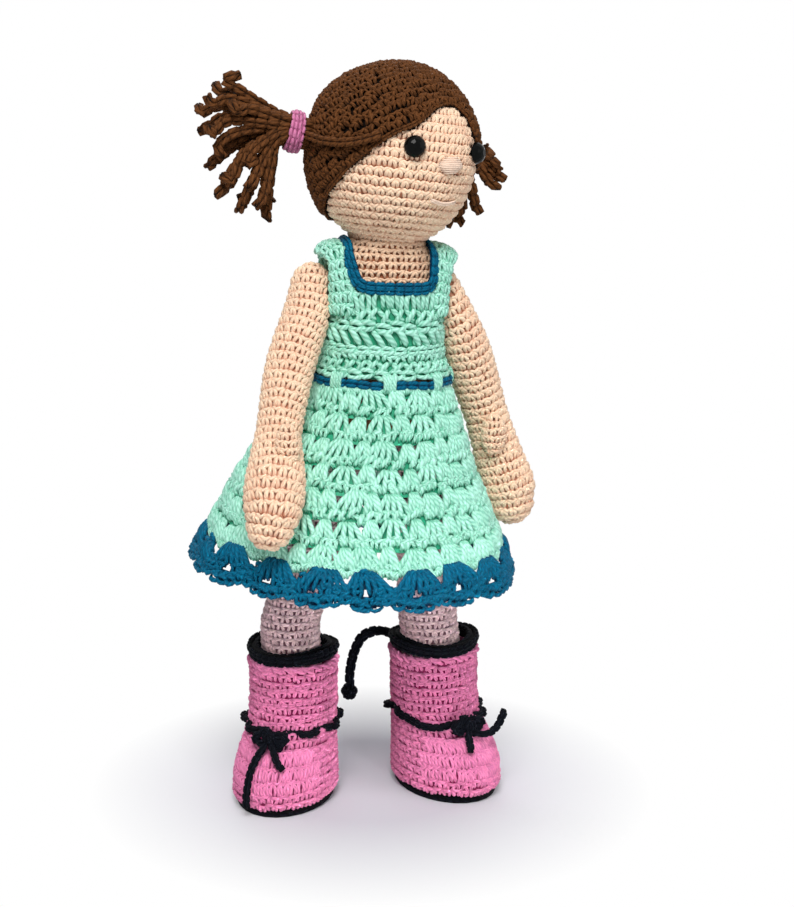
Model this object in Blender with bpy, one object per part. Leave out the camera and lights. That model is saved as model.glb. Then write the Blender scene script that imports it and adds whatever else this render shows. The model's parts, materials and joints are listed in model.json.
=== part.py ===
"""A crocheted doll, about 34 cm tall: stuffed head, body, arms and legs, a dress and two boots.

The doll faces -Y and its right side is at -X. Run with blender --background --python part.py.
"""

import math

import bmesh
import bpy
import numpy as np
from mathutils import Matrix, Vector

# Clearance between two pieces that touch
GAP = 0.0003

# Head, its turn on the neck and its lean
HEAD_WIDTH = 0.077
HEAD_HEIGHT = 0.081
HEAD_TURN_DEG = 25.4
HEAD_LEAN_DEG = 4.0
HEAD_SEAT = 0.0045
HEAD_RINGS = 18
HEAD_SIDES = 28

# Hair cap: where its edge lies, as turns from the face's middle and heights over the head's equator
HAIR_THICKNESS = 0.003
HAIR_LIFT = 0.0010
HAIR_RINGS = 8
HAIR_SIDES = 30
HAIRLINE_TURN_DEG = (-180, -127, -103, -78, -67, -52, -41, -27, -12, 0, 10, 23, 31, 45, 60, 80, 103, 127, 180)
HAIRLINE_RISE_DEG = (-50, -48, -36, -18, -7, 6, 14, 21, 34, 38, 38, 30, 14, 2, -6, -19, -36, -48, -50)

# Eyes with a stem through the head and a washer on it
EYE_DIAMETER = 0.0098
EYE_BULGE = 0.0042
EYE_TURN_DEG = 26.8
EYE_RISE_DEG = 8.3
EYE_STEM_DIAMETER = 0.003
EYE_STEM_LENGTH = 0.011
EYE_WASHER_DIAMETER = 0.009
EYE_WASHER_THICKNESS = 0.0012
EYE_WASHER_DEPTH = 0.004

# Nose and mouth, stitched on the face
NOSE_WIDTH = 0.0125
NOSE_HEIGHT = 0.0078
NOSE_BULGE = 0.0014
NOSE_TURN_DEG = 1.5
NOSE_RISE_DEG = -1.2
MOUTH_SPAN_DEG = (-10, 14.5)
MOUTH_RISE_DEG = -23.5
MOUTH_SAG_DEG = 2.0
MOUTH_THREAD = 0.0012

# Bunches of hair: a tie and twelve crocheted strands each
BUNCH_TURN_DEG = 115
BUNCH_RISE_DEG = 7.5
BUNCH_ROOT_RADIUS = 0.0056
BUNCH_ROOT_LENGTH = 0.0125
TIE_START = 0.0022
TIE_WIDTH = 0.0075
TIE_THICKNESS = 0.0046
STRAND_DIAMETER = 0.0042
STRAND_LENGTH = 0.040
STRAND_POINTS = 6
# Each strand: lift, turn to the side, both in degrees, and its length as a share
STRAND_SHARES = (
    (38, -8, 1.0), (24, 26, 0.86), (8, -16, 1.08), (2, 22, 0.95), (-14, -30, 0.88), (-20, 4, 0.98),
    (-34, 30, 0.84), (-42, -12, 1.0), (-54, 12, 1.02), (-66, -24, 0.94), (-78, 6, 0.88), (50, 10, 0.62),
)
STRAND_SAG_SHARE = 0.16
LOCK_DIAMETER = 0.004
LOCK_TURN_DEG = (50, 60, 72, 86, 98)
LOCK_RISE_DEG = (11.5, 7.5, 5.2, 5.0, 6.2)

# Body: the hips' place and lean, then the body's outline as shares of its height, width and depth
HIP_PLACE = (0.0066, -0.002, 0.178)
BODY_LEAN_DEG = 2.5
BODY_HEIGHT = 0.101
BODY_BELOW_HIP = 0.014
BODY_WIDTH = 0.059
BODY_DEPTH = 0.047
BODY_SIDES = 24
BODY_OUTLINE_SHARES = (
    (0.0, 0.41, 0.43), (0.038, 0.68, 0.68), (0.094, 0.90, 0.89), (0.17, 0.98, 0.98), (0.264, 1.0, 1.0),
    (0.321, 0.985, 0.98), (0.415, 0.90, 0.915), (0.509, 0.837, 0.872), (0.604, 0.824, 0.851),
    (0.698, 0.847, 0.83), (0.774, 0.881, 0.80), (0.83, 0.898, 0.766), (0.877, 0.865, 0.74),
    (0.906, 0.74, 0.723), (0.925, 0.625, 0.723), (1.0, 0.593, 0.723),
)

# Arms: the shoulder's place from the hips, then each arm's line as shares of its drop, and its girth
SHOULDER_REACH = 0.0365
SHOULDER_HEIGHT = 0.060
SHOULDER_RADIUS = 0.0112
ARM_DROP = 0.110
ARM_RADIUS = 0.0118
ARM_POINTS = 12
RIGHT_ARM_SHARES = (
    (0.0, 0.0, 0.0, 0.88), (0.021, 0.045, 0.105, 1.0), (0.095, 0.157, 0.323, 0.97),
    (0.142, 0.292, 0.547, 0.88), (0.165, 0.367, 0.64, 1.03), (0.187, 0.452, 0.758, 1.12),
    (0.206, 0.508, 0.872, 1.0), (0.218, 0.524, 0.965, 0.66),
)
LEFT_ARM_SHARES = (
    (0.0, 0.0, 0.0, 0.88), (0.046, -0.015, 0.21, 1.0), (0.102, -0.069, 0.402, 0.95),
    (0.167, -0.085, 0.569, 0.87), (0.231, -0.074, 0.735, 0.93), (0.286, -0.065, 0.875, 1.1),
    (0.308, -0.062, 0.975, 0.74),
)
THUMB_WIDTH = 0.012
THUMB_LENGTH = 0.018
THUMB_HEIGHT_SHARE = 0.70
THUMB_TURN_DEG = 12

# Dress: bodice, neckline trim, ribbon, skirt and border
DRESS_THICKNESS = 0.0024
ARMHOLE_RADIUS = 0.0128
NECKLINE_WIDTH = 0.034
NECKLINE_HEIGHT = 0.0636
TRIM_WIDTH = 0.0052
TRIM_PROUD = 0.0008
WAIST_HEIGHT = 0.0168
RIBBON_HEIGHT = 0.0036
RIBBON_THICKNESS = 0.0021
SKIRT_HEM_WIDTH = 0.149
SKIRT_BOTTOM = 0.1218
SKIRT_SIDES = 40
SKIRT_FOLDS = 9
SKIRT_FOLD_DEPTH = 0.0011
BORDER_BOTTOM = 0.1085
BORDER_SCALLOP = 0.0028
BORDER_SCALLOPS = 18
BORDER_SIDES = 54
# The skirt's rings: height share from the border's bottom to the waist, then its half width, its offset
# and its depth as shares of the hem's half width and of the ring's own width
SKIRT_OUTLINE_SHARES = (
    (0.0, 1.0, -0.109, 1.0), (0.13, 0.935, -0.102, 1.0), (0.27, 0.862, -0.102, 1.0), (0.41, 0.795, -0.105, 1.0),
    (0.58, 0.70, -0.098, 0.99), (0.75, 0.592, -0.048, 0.96), (0.88, 0.50, -0.012, 0.88), (1.0, 0.442, 0.0, 0.81),
)

# Legs, leaning in from the boots to the hips
LEG_RADIUS = 0.0140
LEG_SIDES = 20
# Each leg's line: height as a share of the hips' height, and reach as a share of the boots' reach
RIGHT_LEG_SHARES = ((0.0, -1.0), (0.46, -1.045), (0.78, -0.576), (0.97, -0.279), (1.06, -0.206))
LEFT_LEG_SHARES = ((0.0, 1.0), (0.39, 0.945), (0.46, 0.90), (0.78, 0.809), (0.97, 0.653), (1.06, 0.603))

# Boots: where they stand, and their outline at each height
BOOT_REACH = 0.034
RIGHT_BOOT_TURN_DEG = -30
LEFT_BOOT_TURN_DEG = 18
BOOT_HEIGHT = 0.0650
BOOT_LENGTH = 0.063
BOOT_WIDTH = 0.047
BOOT_WALL = 0.0031
BOOT_SIDES = 24
BOOT_OUTLINE_SHARES = (
    (0.0, 0.94, 0.94, 0.171), (0.10, 1.0, 1.0, 0.175), (0.24, 0.985, 0.98, 0.167), (0.36, 0.90, 0.94, 0.125),
    (0.46, 0.775, 0.895, 0.062), (0.56, 0.685, 0.872, 0.020), (0.70, 0.652, 0.872, 0.0), (1.0, 0.652, 0.872, 0.0),
)
SOLE_THICKNESS = 0.0034
SOLE_INSET = 0.0008
CUFF_HEIGHT = 0.0052
CUFF_WALL = 0.0038
LACE_DIAMETER = 0.0031
LACE_HEIGHT = 0.0345
LACE_POINTS = 28
BOW_KNOT_RADIUS = 0.0030
BOW_LOOP_RADIUS = 0.0034
BOW_LOOP_TUBE = 0.0015
PULL_DIAMETER = 0.0046
PULL_KNOB_RADIUS = 0.0034

# Routes of the loose cords in the boot's own frame, toe towards -Y
LONG_END_POINTS = {
    "right": (
        (-0.0016, -0.0331, 0.0317), (-0.0034, -0.0360, 0.0290), (-0.0052, -0.0390, 0.0246),
        (-0.0064, -0.0413, 0.0195), (-0.0070, -0.0429, 0.0135), (-0.0073, -0.0433, 0.0085),
        (-0.0072, -0.0432, 0.0050),
    ),
    "left": (
        (0.0016, -0.0340, 0.0317), (0.0050, -0.0361, 0.0309), (0.0090, -0.0372, 0.0318),
        (0.0124, -0.0374, 0.0346), (0.0146, -0.0372, 0.0382), (0.0162, -0.0368, 0.0405),
    ),
}
SHORT_END_POINTS = {
    "right": (
        (0.0016, -0.0331, 0.0319), (0.0036, -0.0356, 0.0294), (0.0056, -0.0376, 0.0264),
        (0.0082, -0.0386, 0.0236),
    ),
    "left": ((-0.0016, -0.0331, 0.0319), (-0.0026, -0.0360, 0.0286), (-0.0034, -0.0386, 0.0252)),
}
PULL_POINTS = {
    "right": (
        (-0.0131, 0.0162, 0.0680), (-0.0178, 0.0222, 0.0688), (-0.0215, 0.0265, 0.0640),
        (-0.0225, 0.0280, 0.0560), (-0.0225, 0.0285, 0.0470), (-0.0222, 0.0285, 0.0410),
    ),
    "left": (
        (-0.0131, 0.0162, 0.0680), (-0.0178, 0.0222, 0.0688), (-0.0235, 0.0275, 0.0650),
        (-0.0270, 0.0300, 0.0560), (-0.0285, 0.0308, 0.0470), (-0.0288, 0.0308, 0.0410),
    ),
}

# Colour, roughness and metallic of each finish
FINISHES = {
    "skin_yarn": ((0.82, 0.58, 0.40), 0.85),
    "hair_yarn": ((0.085, 0.034, 0.012), 0.8),
    "mint_yarn": ((0.26, 0.72, 0.54), 0.85),
    "blue_yarn": ((0.006, 0.09, 0.20), 0.8),
    "tights_yarn": ((0.52, 0.32, 0.34), 0.85),
    "boot_yarn": ((0.62, 0.14, 0.31), 0.85),
    "navy_yarn": ((0.005, 0.007, 0.018), 0.85),
    "tie_yarn": ((0.62, 0.21, 0.36), 0.8),
    "thread": ((0.85, 0.55, 0.42), 0.6),
    "eye_plastic": ((0.004, 0.004, 0.004), 0.06),
    "washer_plastic": ((0.8, 0.8, 0.78), 0.4),
}


def clear_scene():
    for found in list(bpy.data.objects):
        bpy.data.objects.remove(found, do_unlink=True)


def material(name):
    """The named finish, made once."""
    if name in bpy.data.materials:
        return bpy.data.materials[name]
    colour, roughness = FINISHES[name]
    made = bpy.data.materials.new(name)
    made.use_nodes = True
    shader = made.node_tree.nodes["Principled BSDF"]
    shader.inputs["Base Color"].default_value = (*colour, 1.0)
    shader.inputs["Roughness"].default_value = roughness
    shader.inputs["Metallic"].default_value = 0.0
    return made


def empty(name, place, parent=None, turn=None):
    """A helper that carries pieces, with its place and turn in its parent's frame."""
    made = bpy.data.objects.new(name, None)
    bpy.context.scene.collection.objects.link(made)
    made.parent = parent
    made.matrix_local = Matrix.Translation(place) @ (turn or Matrix.Identity(4))
    return made


def turned(angle_deg, axis):
    return Matrix.Rotation(math.radians(angle_deg), 4, axis)


def add_object(name, mesh, parent, finish):
    """One named piece from a mesh or a curve, under its carrier."""
    made = bpy.data.objects.new(name, mesh)
    bpy.context.scene.collection.objects.link(made)
    made.parent = parent
    if finish:
        mesh.materials.append(material(finish))
    return made


def helper(found):
    """Marks an object as a cutter, which the build leaves out."""
    found.hide_render = True
    found.display_type = "WIRE"
    return found


def finish_mesh(bm, name, parent, finish, smooth=True):
    """Closes a bmesh into a named piece with its faces pointing out."""
    bmesh.ops.recalc_face_normals(bm, faces=bm.faces)
    mesh = bpy.data.meshes.new(name)
    bm.to_mesh(mesh)
    bm.free()
    if smooth:
        mesh.shade_smooth()
        mesh.set_sharp_from_angle(angle=math.radians(50))
    return add_object(name, mesh, parent, finish)


def loft(rings, close_start=True, close_end=True):
    """A bmesh skin through rings of points, each ring as long as the next."""
    bm = bmesh.new()
    loops = [[bm.verts.new(point) for point in ring] for ring in rings]
    for low, high in zip(loops, loops[1:]):
        for i, start in enumerate(low):
            j = (i + 1) % len(low)
            bm.faces.new((start, low[j], high[j], high[i]))
    if close_start:
        bm.faces.new(loops[0][::-1])
    if close_end:
        bm.faces.new(loops[-1])
    return bm


def oval(centre, half_x, half_y, sides, turn=0.0):
    """A flat ring of points round a centre, turned about the upright axis."""
    points = []
    for i in range(sides):
        angle = 2 * math.pi * i / sides
        x, y = half_x * math.cos(angle), half_y * math.sin(angle)
        points.append(
            Vector(centre)
            + Vector((x * math.cos(turn) - y * math.sin(turn), x * math.sin(turn) + y * math.cos(turn), 0))
        )
    return points


def smooth_route(points, count):
    """Points spread evenly along a smooth curve through the given ones, of any width."""
    given = np.array(points, float)
    ends = np.vstack((2 * given[0] - given[1], given, 2 * given[-1] - given[-2]))
    fine = []
    for i in range(1, len(ends) - 2):
        a, b, c, d = ends[i - 1 : i + 3]
        for t in np.linspace(0, 1, 24, endpoint=False):
            fine.append(
                0.5 * (2 * b + (c - a) * t + (2 * a - 5 * b + 4 * c - d) * t**2 + (3 * b - a - 3 * c + d) * t**3)
            )
    fine = np.array(fine + [given[-1]])
    along = np.concatenate(([0], np.cumsum(np.linalg.norm(np.diff(fine[:, :3], axis=0), axis=1))))
    even = np.linspace(0, along[-1], count)
    return np.column_stack([np.interp(even, along, fine[:, k]) for k in range(fine.shape[1])])


def tube(name, points, diameter, parent, finish, sides_level=2, radii=None, closed=False):
    """A round tube along points: a curve with a bevel and filled caps."""
    curve = bpy.data.curves.new(name, "CURVE")
    curve.dimensions = "3D"
    curve.bevel_depth = diameter / 2
    curve.bevel_resolution = sides_level
    curve.use_fill_caps = not closed
    spline = curve.splines.new("POLY")
    spline.points.add(len(points) - 1)
    for i, (held, point) in enumerate(zip(spline.points, points)):
        held.co = (*point[:3], 1.0)
        held.radius = radii[i] if radii is not None else 1.0
    spline.use_cyclic_u = closed
    return add_object(name, curve, parent, finish)


def as_mesh(found):
    """Turns a curve, or an object with modifiers, into a plain mesh of the same name and finish."""
    bpy.context.view_layer.update()
    graph = bpy.context.evaluated_depsgraph_get()
    mesh = bpy.data.meshes.new_from_object(found.evaluated_get(graph))
    name, parent, place = found.name, found.parent, found.matrix_local.copy()
    bpy.data.objects.remove(found, do_unlink=True)
    mesh.name = name
    made = bpy.data.objects.new(name, mesh)
    bpy.context.scene.collection.objects.link(made)
    made.parent = parent
    made.matrix_local = place
    return made


def weld(found):
    """Joins the points of a piece that share a place, as where a tube's caps meet its wall."""
    bm = bmesh.new()
    bm.from_mesh(found.data)
    bmesh.ops.remove_doubles(bm, verts=bm.verts, dist=GAP / 30)
    bmesh.ops.recalc_face_normals(bm, faces=bm.faces)
    bm.to_mesh(found.data)
    bm.free()
    return found


def boolean(found, other, operation, solver="EXACT"):
    cut = found.modifiers.new(other.name, "BOOLEAN")
    cut.operation = operation
    cut.solver = solver
    cut.object = helper(other)
    return cut


def box(name, low, high, parent):
    """A block between two corners, as a cutter."""
    bm = bmesh.new()
    bmesh.ops.create_cube(bm, size=1)
    size = Vector(high) - Vector(low)
    bmesh.ops.transform(
        bm, matrix=Matrix.Translation((Vector(low) + Vector(high)) / 2) @ Matrix.Diagonal((*size, 1)), verts=bm.verts
    )
    return helper(finish_mesh(bm, name, parent, None, smooth=False))


def ball(name, centre, radii, parent, finish, rings=8, sides=12, turn=None):
    """An ellipsoid with its poles up and down before its turn."""
    bm = bmesh.new()
    bmesh.ops.create_uvsphere(bm, u_segments=sides, v_segments=rings, radius=1)
    place = Matrix.Translation(centre) @ (turn or Matrix.Identity(4)) @ Matrix.Diagonal((*radii, 1))
    bmesh.ops.transform(bm, matrix=place, verts=bm.verts)
    return finish_mesh(bm, name, parent, finish)


def turned_profile(name, profile, sides, parent, finish, place=None):
    """A closed profile of radius and height, turned about Z."""
    rings = [oval((0, 0, height), radius, radius, sides) for radius, height in profile]
    bm = loft(rings + rings[:1], close_start=False, close_end=False)
    bmesh.ops.remove_doubles(bm, verts=bm.verts, dist=GAP / 30)
    if place:
        bmesh.ops.transform(bm, matrix=place, verts=bm.verts)
    return finish_mesh(bm, name, parent, finish)


# Head and what is on it


def head_radii(extra=0.0):
    return (HEAD_WIDTH / 2 + extra, HEAD_WIDTH / 2 + extra, HEAD_HEIGHT / 2 + extra)


def head_point(turn_deg, rise_deg, extra=0.0):
    """A point on the head's surface, or extra outside it, in the head's frame."""
    turn, rise = math.radians(turn_deg), math.radians(rise_deg)
    rx, ry, rz = head_radii(extra)
    return Vector((rx * math.sin(turn) * math.cos(rise), -ry * math.cos(turn) * math.cos(rise), rz * math.sin(rise)))


def head_normal(turn_deg, rise_deg):
    point = head_point(turn_deg, rise_deg)
    return Vector([p / r**2 for p, r in zip(point, head_radii())]).normalized()


def outward_frame(turn_deg, rise_deg, extra=0.0):
    """A matrix whose Z points out of the head there and whose Y points up it."""
    out = head_normal(turn_deg, rise_deg)
    side = Vector((0, 0, 1)).cross(out).normalized()
    up = out.cross(side)
    frame = Matrix((side, up, out)).transposed().to_4x4()
    return Matrix.Translation(head_point(turn_deg, rise_deg, extra)) @ frame


def make_head(carrier):
    head = ball("head", (0, 0, 0), head_radii(), carrier, "skin_yarn", HEAD_RINGS, HEAD_SIDES)
    for side, sign in (("right", -1), ("left", 1)):
        frame = outward_frame(sign * EYE_TURN_DEG, EYE_RISE_DEG)
        stem_radius = EYE_STEM_DIAMETER / 2 + GAP
        pocket_radius = EYE_WASHER_DIAMETER / 2 + GAP
        floor = -(EYE_STEM_LENGTH + GAP)
        washer_top = -EYE_WASHER_DEPTH + GAP
        washer_floor = -(EYE_WASHER_DEPTH + EYE_WASHER_THICKNESS + GAP)
        profile = (
            (stem_radius, EYE_BULGE), (stem_radius, washer_top), (pocket_radius, washer_top),
            (pocket_radius, washer_floor), (stem_radius, washer_floor), (stem_radius, floor),
        )
        rings = [oval((0, 0, height), radius, radius, 12) for radius, height in profile]
        bm = loft(rings)
        bmesh.ops.transform(bm, matrix=frame, verts=bm.verts)
        boolean(head, finish_mesh(bm, f"eye_bore_{side}", carrier, None), "DIFFERENCE")
        make_eye(side, frame, carrier)
    return head


def make_eye(side, frame, carrier):
    """A domed bead on a stem, and the washer that locks it behind the crochet."""
    steps = 5
    seat = GAP
    profile = [(EYE_STEM_DIAMETER / 2, -EYE_STEM_LENGTH), (EYE_STEM_DIAMETER / 2, seat)]
    for i in range(steps):
        angle = math.pi / 2 * i / steps
        profile.append((EYE_DIAMETER / 2 * math.cos(angle), seat + EYE_BULGE * math.sin(angle)))
    rings = [oval((0, 0, height), radius, radius, 16) for radius, height in profile]
    bm = loft(rings)
    # The bead's rim follows the curve of the head under it
    bmesh.ops.transform(bm, matrix=Matrix.Translation((0, 0, GAP)), verts=bm.verts)
    bmesh.ops.transform(bm, matrix=frame, verts=bm.verts)
    finish_mesh(bm, f"eye_{side}", carrier, "eye_plastic")
    top, bottom = -EYE_WASHER_DEPTH, -(EYE_WASHER_DEPTH + EYE_WASHER_THICKNESS)
    inner, outer = EYE_STEM_DIAMETER / 2 + GAP, EYE_WASHER_DIAMETER / 2
    ring = ((inner, bottom), (outer, bottom), (outer, top), (inner, top))
    turned_profile(f"eye_washer_{side}", ring, 12, carrier, "washer_plastic", frame)


def hairline(turn_deg):
    return float(np.interp(turn_deg, HAIRLINE_TURN_DEG, HAIRLINE_RISE_DEG))


def make_hair(carrier):
    """The crocheted cap: a skin over the head whose edge follows the hairline."""
    bm = bmesh.new()
    skins = []
    for extra in (HAIR_LIFT, HAIR_THICKNESS):
        pole = bm.verts.new(head_point(0, 90, extra))
        loops = []
        for ring in range(1, HAIR_RINGS + 1):
            loop = []
            for i in range(HAIR_SIDES):
                turn = -180 + 360 * i / HAIR_SIDES
                rise = 90 - (90 - hairline(turn)) * ring / HAIR_RINGS
                loop.append(bm.verts.new(head_point(turn, rise, extra)))
            loops.append(loop)
        for i in range(HAIR_SIDES):
            bm.faces.new((pole, loops[0][i], loops[0][(i + 1) % HAIR_SIDES]))
        for low, high in zip(loops, loops[1:]):
            for i in range(HAIR_SIDES):
                j = (i + 1) % HAIR_SIDES
                bm.faces.new((low[i], low[j], high[j], high[i]))
        skins.append(loops[-1])
    inner, outer = skins
    for i in range(HAIR_SIDES):
        j = (i + 1) % HAIR_SIDES
        bm.faces.new((inner[i], inner[j], outer[j], outer[i]))
    finish_mesh(bm, "hair_cap", carrier, "hair_yarn")


def make_face(carrier):
    frame = outward_frame(NOSE_TURN_DEG, NOSE_RISE_DEG)
    radii = (NOSE_WIDTH / 2, NOSE_HEIGHT / 2, NOSE_BULGE)
    nose = ball("nose_stitches", frame.translation, radii, carrier, "thread", 8, 14, frame.to_3x3().to_4x4())
    boolean(nose, ball("nose_seat", (0, 0, 0), head_radii(GAP), carrier, None, 24, 36), "DIFFERENCE")
    start, end = MOUTH_SPAN_DEG
    points = []
    for t in np.linspace(0, 1, 9):
        rise = MOUTH_RISE_DEG - MOUTH_SAG_DEG * math.sin(math.pi * t)
        points.append(head_point(start + (end - start) * t, rise, MOUTH_THREAD / 2 + GAP))
    tube("mouth_stitch", points, MOUTH_THREAD, carrier, "thread", 1)


def bunch_frame(sign):
    return outward_frame(sign * BUNCH_TURN_DEG, BUNCH_RISE_DEG, HAIR_THICKNESS + GAP)


def make_bunch(side, sign, carrier):
    """A bunch of hair: strands that leave a root held by the tie."""
    frame = bunch_frame(sign)
    inner = BUNCH_ROOT_RADIUS + GAP
    outer = inner + TIE_THICKNESS
    edge = TIE_WIDTH / 4
    profile = (
        (inner, TIE_START), (outer - edge, TIE_START), (outer, TIE_START + edge),
        (outer, TIE_START + TIE_WIDTH - edge), (outer - edge, TIE_START + TIE_WIDTH), (inner, TIE_START + TIE_WIDTH),
    )
    turned_profile(f"hair_tie_{side}", profile, 18, carrier, "tie_yarn", frame)
    rings = [oval((0, 0, height), BUNCH_ROOT_RADIUS, BUNCH_ROOT_RADIUS, 12) for height in (0, BUNCH_ROOT_LENGTH)]
    bm = loft(rings)
    bmesh.ops.transform(bm, matrix=frame, verts=bm.verts)
    bunch = finish_mesh(bm, f"bunch_{side}", carrier, "hair_yarn")
    seat = ball(f"bunch_seat_{side}", (0, 0, 0), head_radii(HAIR_THICKNESS + GAP), carrier, None, 24, 36)
    boolean(bunch, seat, "DIFFERENCE")
    spread = BUNCH_ROOT_RADIUS - STRAND_DIAMETER / 2
    root_end = BUNCH_ROOT_LENGTH - STRAND_DIAMETER * 0.3
    for i, (lift, aside, share) in enumerate(STRAND_SHARES):
        lift_angle, side_angle = math.radians(lift), math.radians(aside * sign)
        way = Vector((math.sin(side_angle), math.sin(lift_angle), math.cos(lift_angle) * math.cos(side_angle)))
        way.normalize()
        length = STRAND_LENGTH * share
        start = Vector((spread * math.sin(side_angle), spread * math.sin(lift_angle), root_end))
        points = []
        for t in np.linspace(0, 1, STRAND_POINTS):
            straight = Vector((0, 0, 1)) * (1 - t) + way * t
            droop = Vector((0, -STRAND_SAG_SHARE * length * t * t, 0))
            points.append(frame @ (start + straight * length * t + droop))
        strand = weld(as_mesh(tube(f"strand_{side}_{i}", points, STRAND_DIAMETER, carrier, "hair_yarn", 1)))
        boolean(bunch, strand, "UNION")


def make_lock(side, sign, carrier):
    """The strand that lies on the cap from the parting to the tie."""
    lift = HAIR_THICKNESS + GAP + LOCK_DIAMETER / 2
    route = smooth_route(list(zip(LOCK_TURN_DEG, LOCK_RISE_DEG, (0,) * len(LOCK_TURN_DEG))), 12)
    points = [head_point(sign * turn, rise, lift) for turn, rise, _ in route]
    tube(f"hair_lock_{side}", points, LOCK_DIAMETER, carrier, "hair_yarn", 1)


# Body


def body_half(height):
    """Half the body's width and depth at a height over the hips."""
    share = (height + BODY_BELOW_HIP) / BODY_HEIGHT
    table = np.array(BODY_OUTLINE_SHARES)
    return (
        float(np.interp(share, table[:, 0], table[:, 1])) * BODY_WIDTH / 2,
        float(np.interp(share, table[:, 0], table[:, 2])) * BODY_DEPTH / 2,
    )


def body_rings(heights, extra=0.0, sides=BODY_SIDES):
    rings = []
    for height in heights:
        half_x, half_y = body_half(height)
        rings.append(oval((0, 0, height), half_x + extra, half_y + extra, sides))
    return rings


def body_heights():
    return [share * BODY_HEIGHT - BODY_BELOW_HIP for share, _, _ in BODY_OUTLINE_SHARES]


def make_body(upper, head_carrier):
    body = finish_mesh(loft(body_rings(body_heights())), "body", upper, "skin_yarn")
    clear = ball("head_clearance", (0, 0, 0), head_radii(GAP * 2), head_carrier, None, 24, 36)
    boolean(body, clear, "DIFFERENCE")


def dress_shell(name, low, extra, thickness, upper, finish):
    """An open skin off the body from a height up to the neck, with a wall."""
    heights = [low] + [height for height in body_heights() if height > low + DRESS_THICKNESS]
    bm = loft(body_rings(heights), close_start=False, close_end=False)
    bmesh.ops.recalc_face_normals(bm, faces=bm.faces)
    bm.normal_update()
    for vert in bm.verts:
        vert.co += vert.normal * extra
    shell = finish_mesh(bm, name, upper, finish)
    wall = shell.modifiers.new("wall", "SOLIDIFY")
    wall.thickness = thickness
    wall.offset = 1.0
    return shell


def make_bodice(upper):
    bottom = WAIST_HEIGHT + RIBBON_HEIGHT + 2 * GAP
    bodice = dress_shell("dress_bodice", bottom, 2 * GAP, DRESS_THICKNESS, upper, "mint_yarn")
    over = BODY_HEIGHT
    half, sill = NECKLINE_WIDTH / 2 + TRIM_WIDTH, NECKLINE_HEIGHT - TRIM_WIDTH
    cutter = box("neckline", (-half - GAP, -over, sill - GAP), (half + GAP, over, over * 2), upper)
    boolean(bodice, cutter, "DIFFERENCE", solver="MANIFOLD")
    for side, sign in (("right", -1), ("left", 1)):
        bm = bmesh.new()
        bmesh.ops.create_cone(
            bm, cap_ends=True, segments=22, radius1=ARMHOLE_RADIUS, radius2=ARMHOLE_RADIUS, depth=SHOULDER_REACH
        )
        place = Matrix.Translation((sign * SHOULDER_REACH, 0, SHOULDER_HEIGHT)) @ turned(90, "Y")
        bmesh.ops.transform(bm, matrix=place, verts=bm.verts)
        boolean(bodice, finish_mesh(bm, f"armhole_{side}", upper, None), "DIFFERENCE", solver="MANIFOLD")
    trim = dress_shell("neckline_trim", sill - TRIM_WIDTH, 2 * GAP, DRESS_THICKNESS + TRIM_PROUD, upper, "blue_yarn")
    neck_base = body_heights()[-2] + DRESS_THICKNESS
    boolean(trim, box("trim_outside", (-half, -over, sill), (half, over, neck_base), upper), "INTERSECT", "MANIFOLD")
    inner = NECKLINE_WIDTH / 2
    boolean(trim, box("trim_inside", (-inner, -over, NECKLINE_HEIGHT), (inner, over, over * 2), upper), "DIFFERENCE", "MANIFOLD")


def skirt_table(height):
    """The skirt's half width, its centre's offset, its depth share and how far up it is, at a height."""
    low = BORDER_BOTTOM - HIP_PLACE[2]
    share = (height - low) / (WAIST_HEIGHT - low)
    table = np.array(SKIRT_OUTLINE_SHARES)
    half = SKIRT_HEM_WIDTH / 2
    return (
        float(np.interp(share, table[:, 0], table[:, 1])) * half,
        float(np.interp(share, table[:, 0], table[:, 2])) * half,
        float(np.interp(share, table[:, 0], table[:, 3])),
        share,
    )


def skirt_ring(height, sides, scallop=0.0):
    """One ring of the skirt with its soft folds, and scallops that dip along the hem."""
    half, offset, depth, share = skirt_table(height)
    points = []
    for i in range(sides):
        angle = 2 * math.pi * i / sides
        fold = SKIRT_FOLD_DEPTH * max(0.0, 1 - share) ** 2 * math.cos(SKIRT_FOLDS * angle)
        dip = scallop * abs(math.sin(BORDER_SCALLOPS * angle / 2))
        radius = half + fold
        points.append(
            Vector((offset + radius * math.cos(angle), radius * depth * math.sin(angle), height - dip))
        )
    return points


def cloth_band(name, rings, upper, finish):
    """A wall of cloth through rings, its thickness laid inwards."""
    band = finish_mesh(loft(rings, close_start=False, close_end=False), name, upper, finish)
    wall = band.modifiers.new("wall", "SOLIDIFY")
    wall.thickness = DRESS_THICKNESS
    wall.offset = -1.0
    return band


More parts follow.
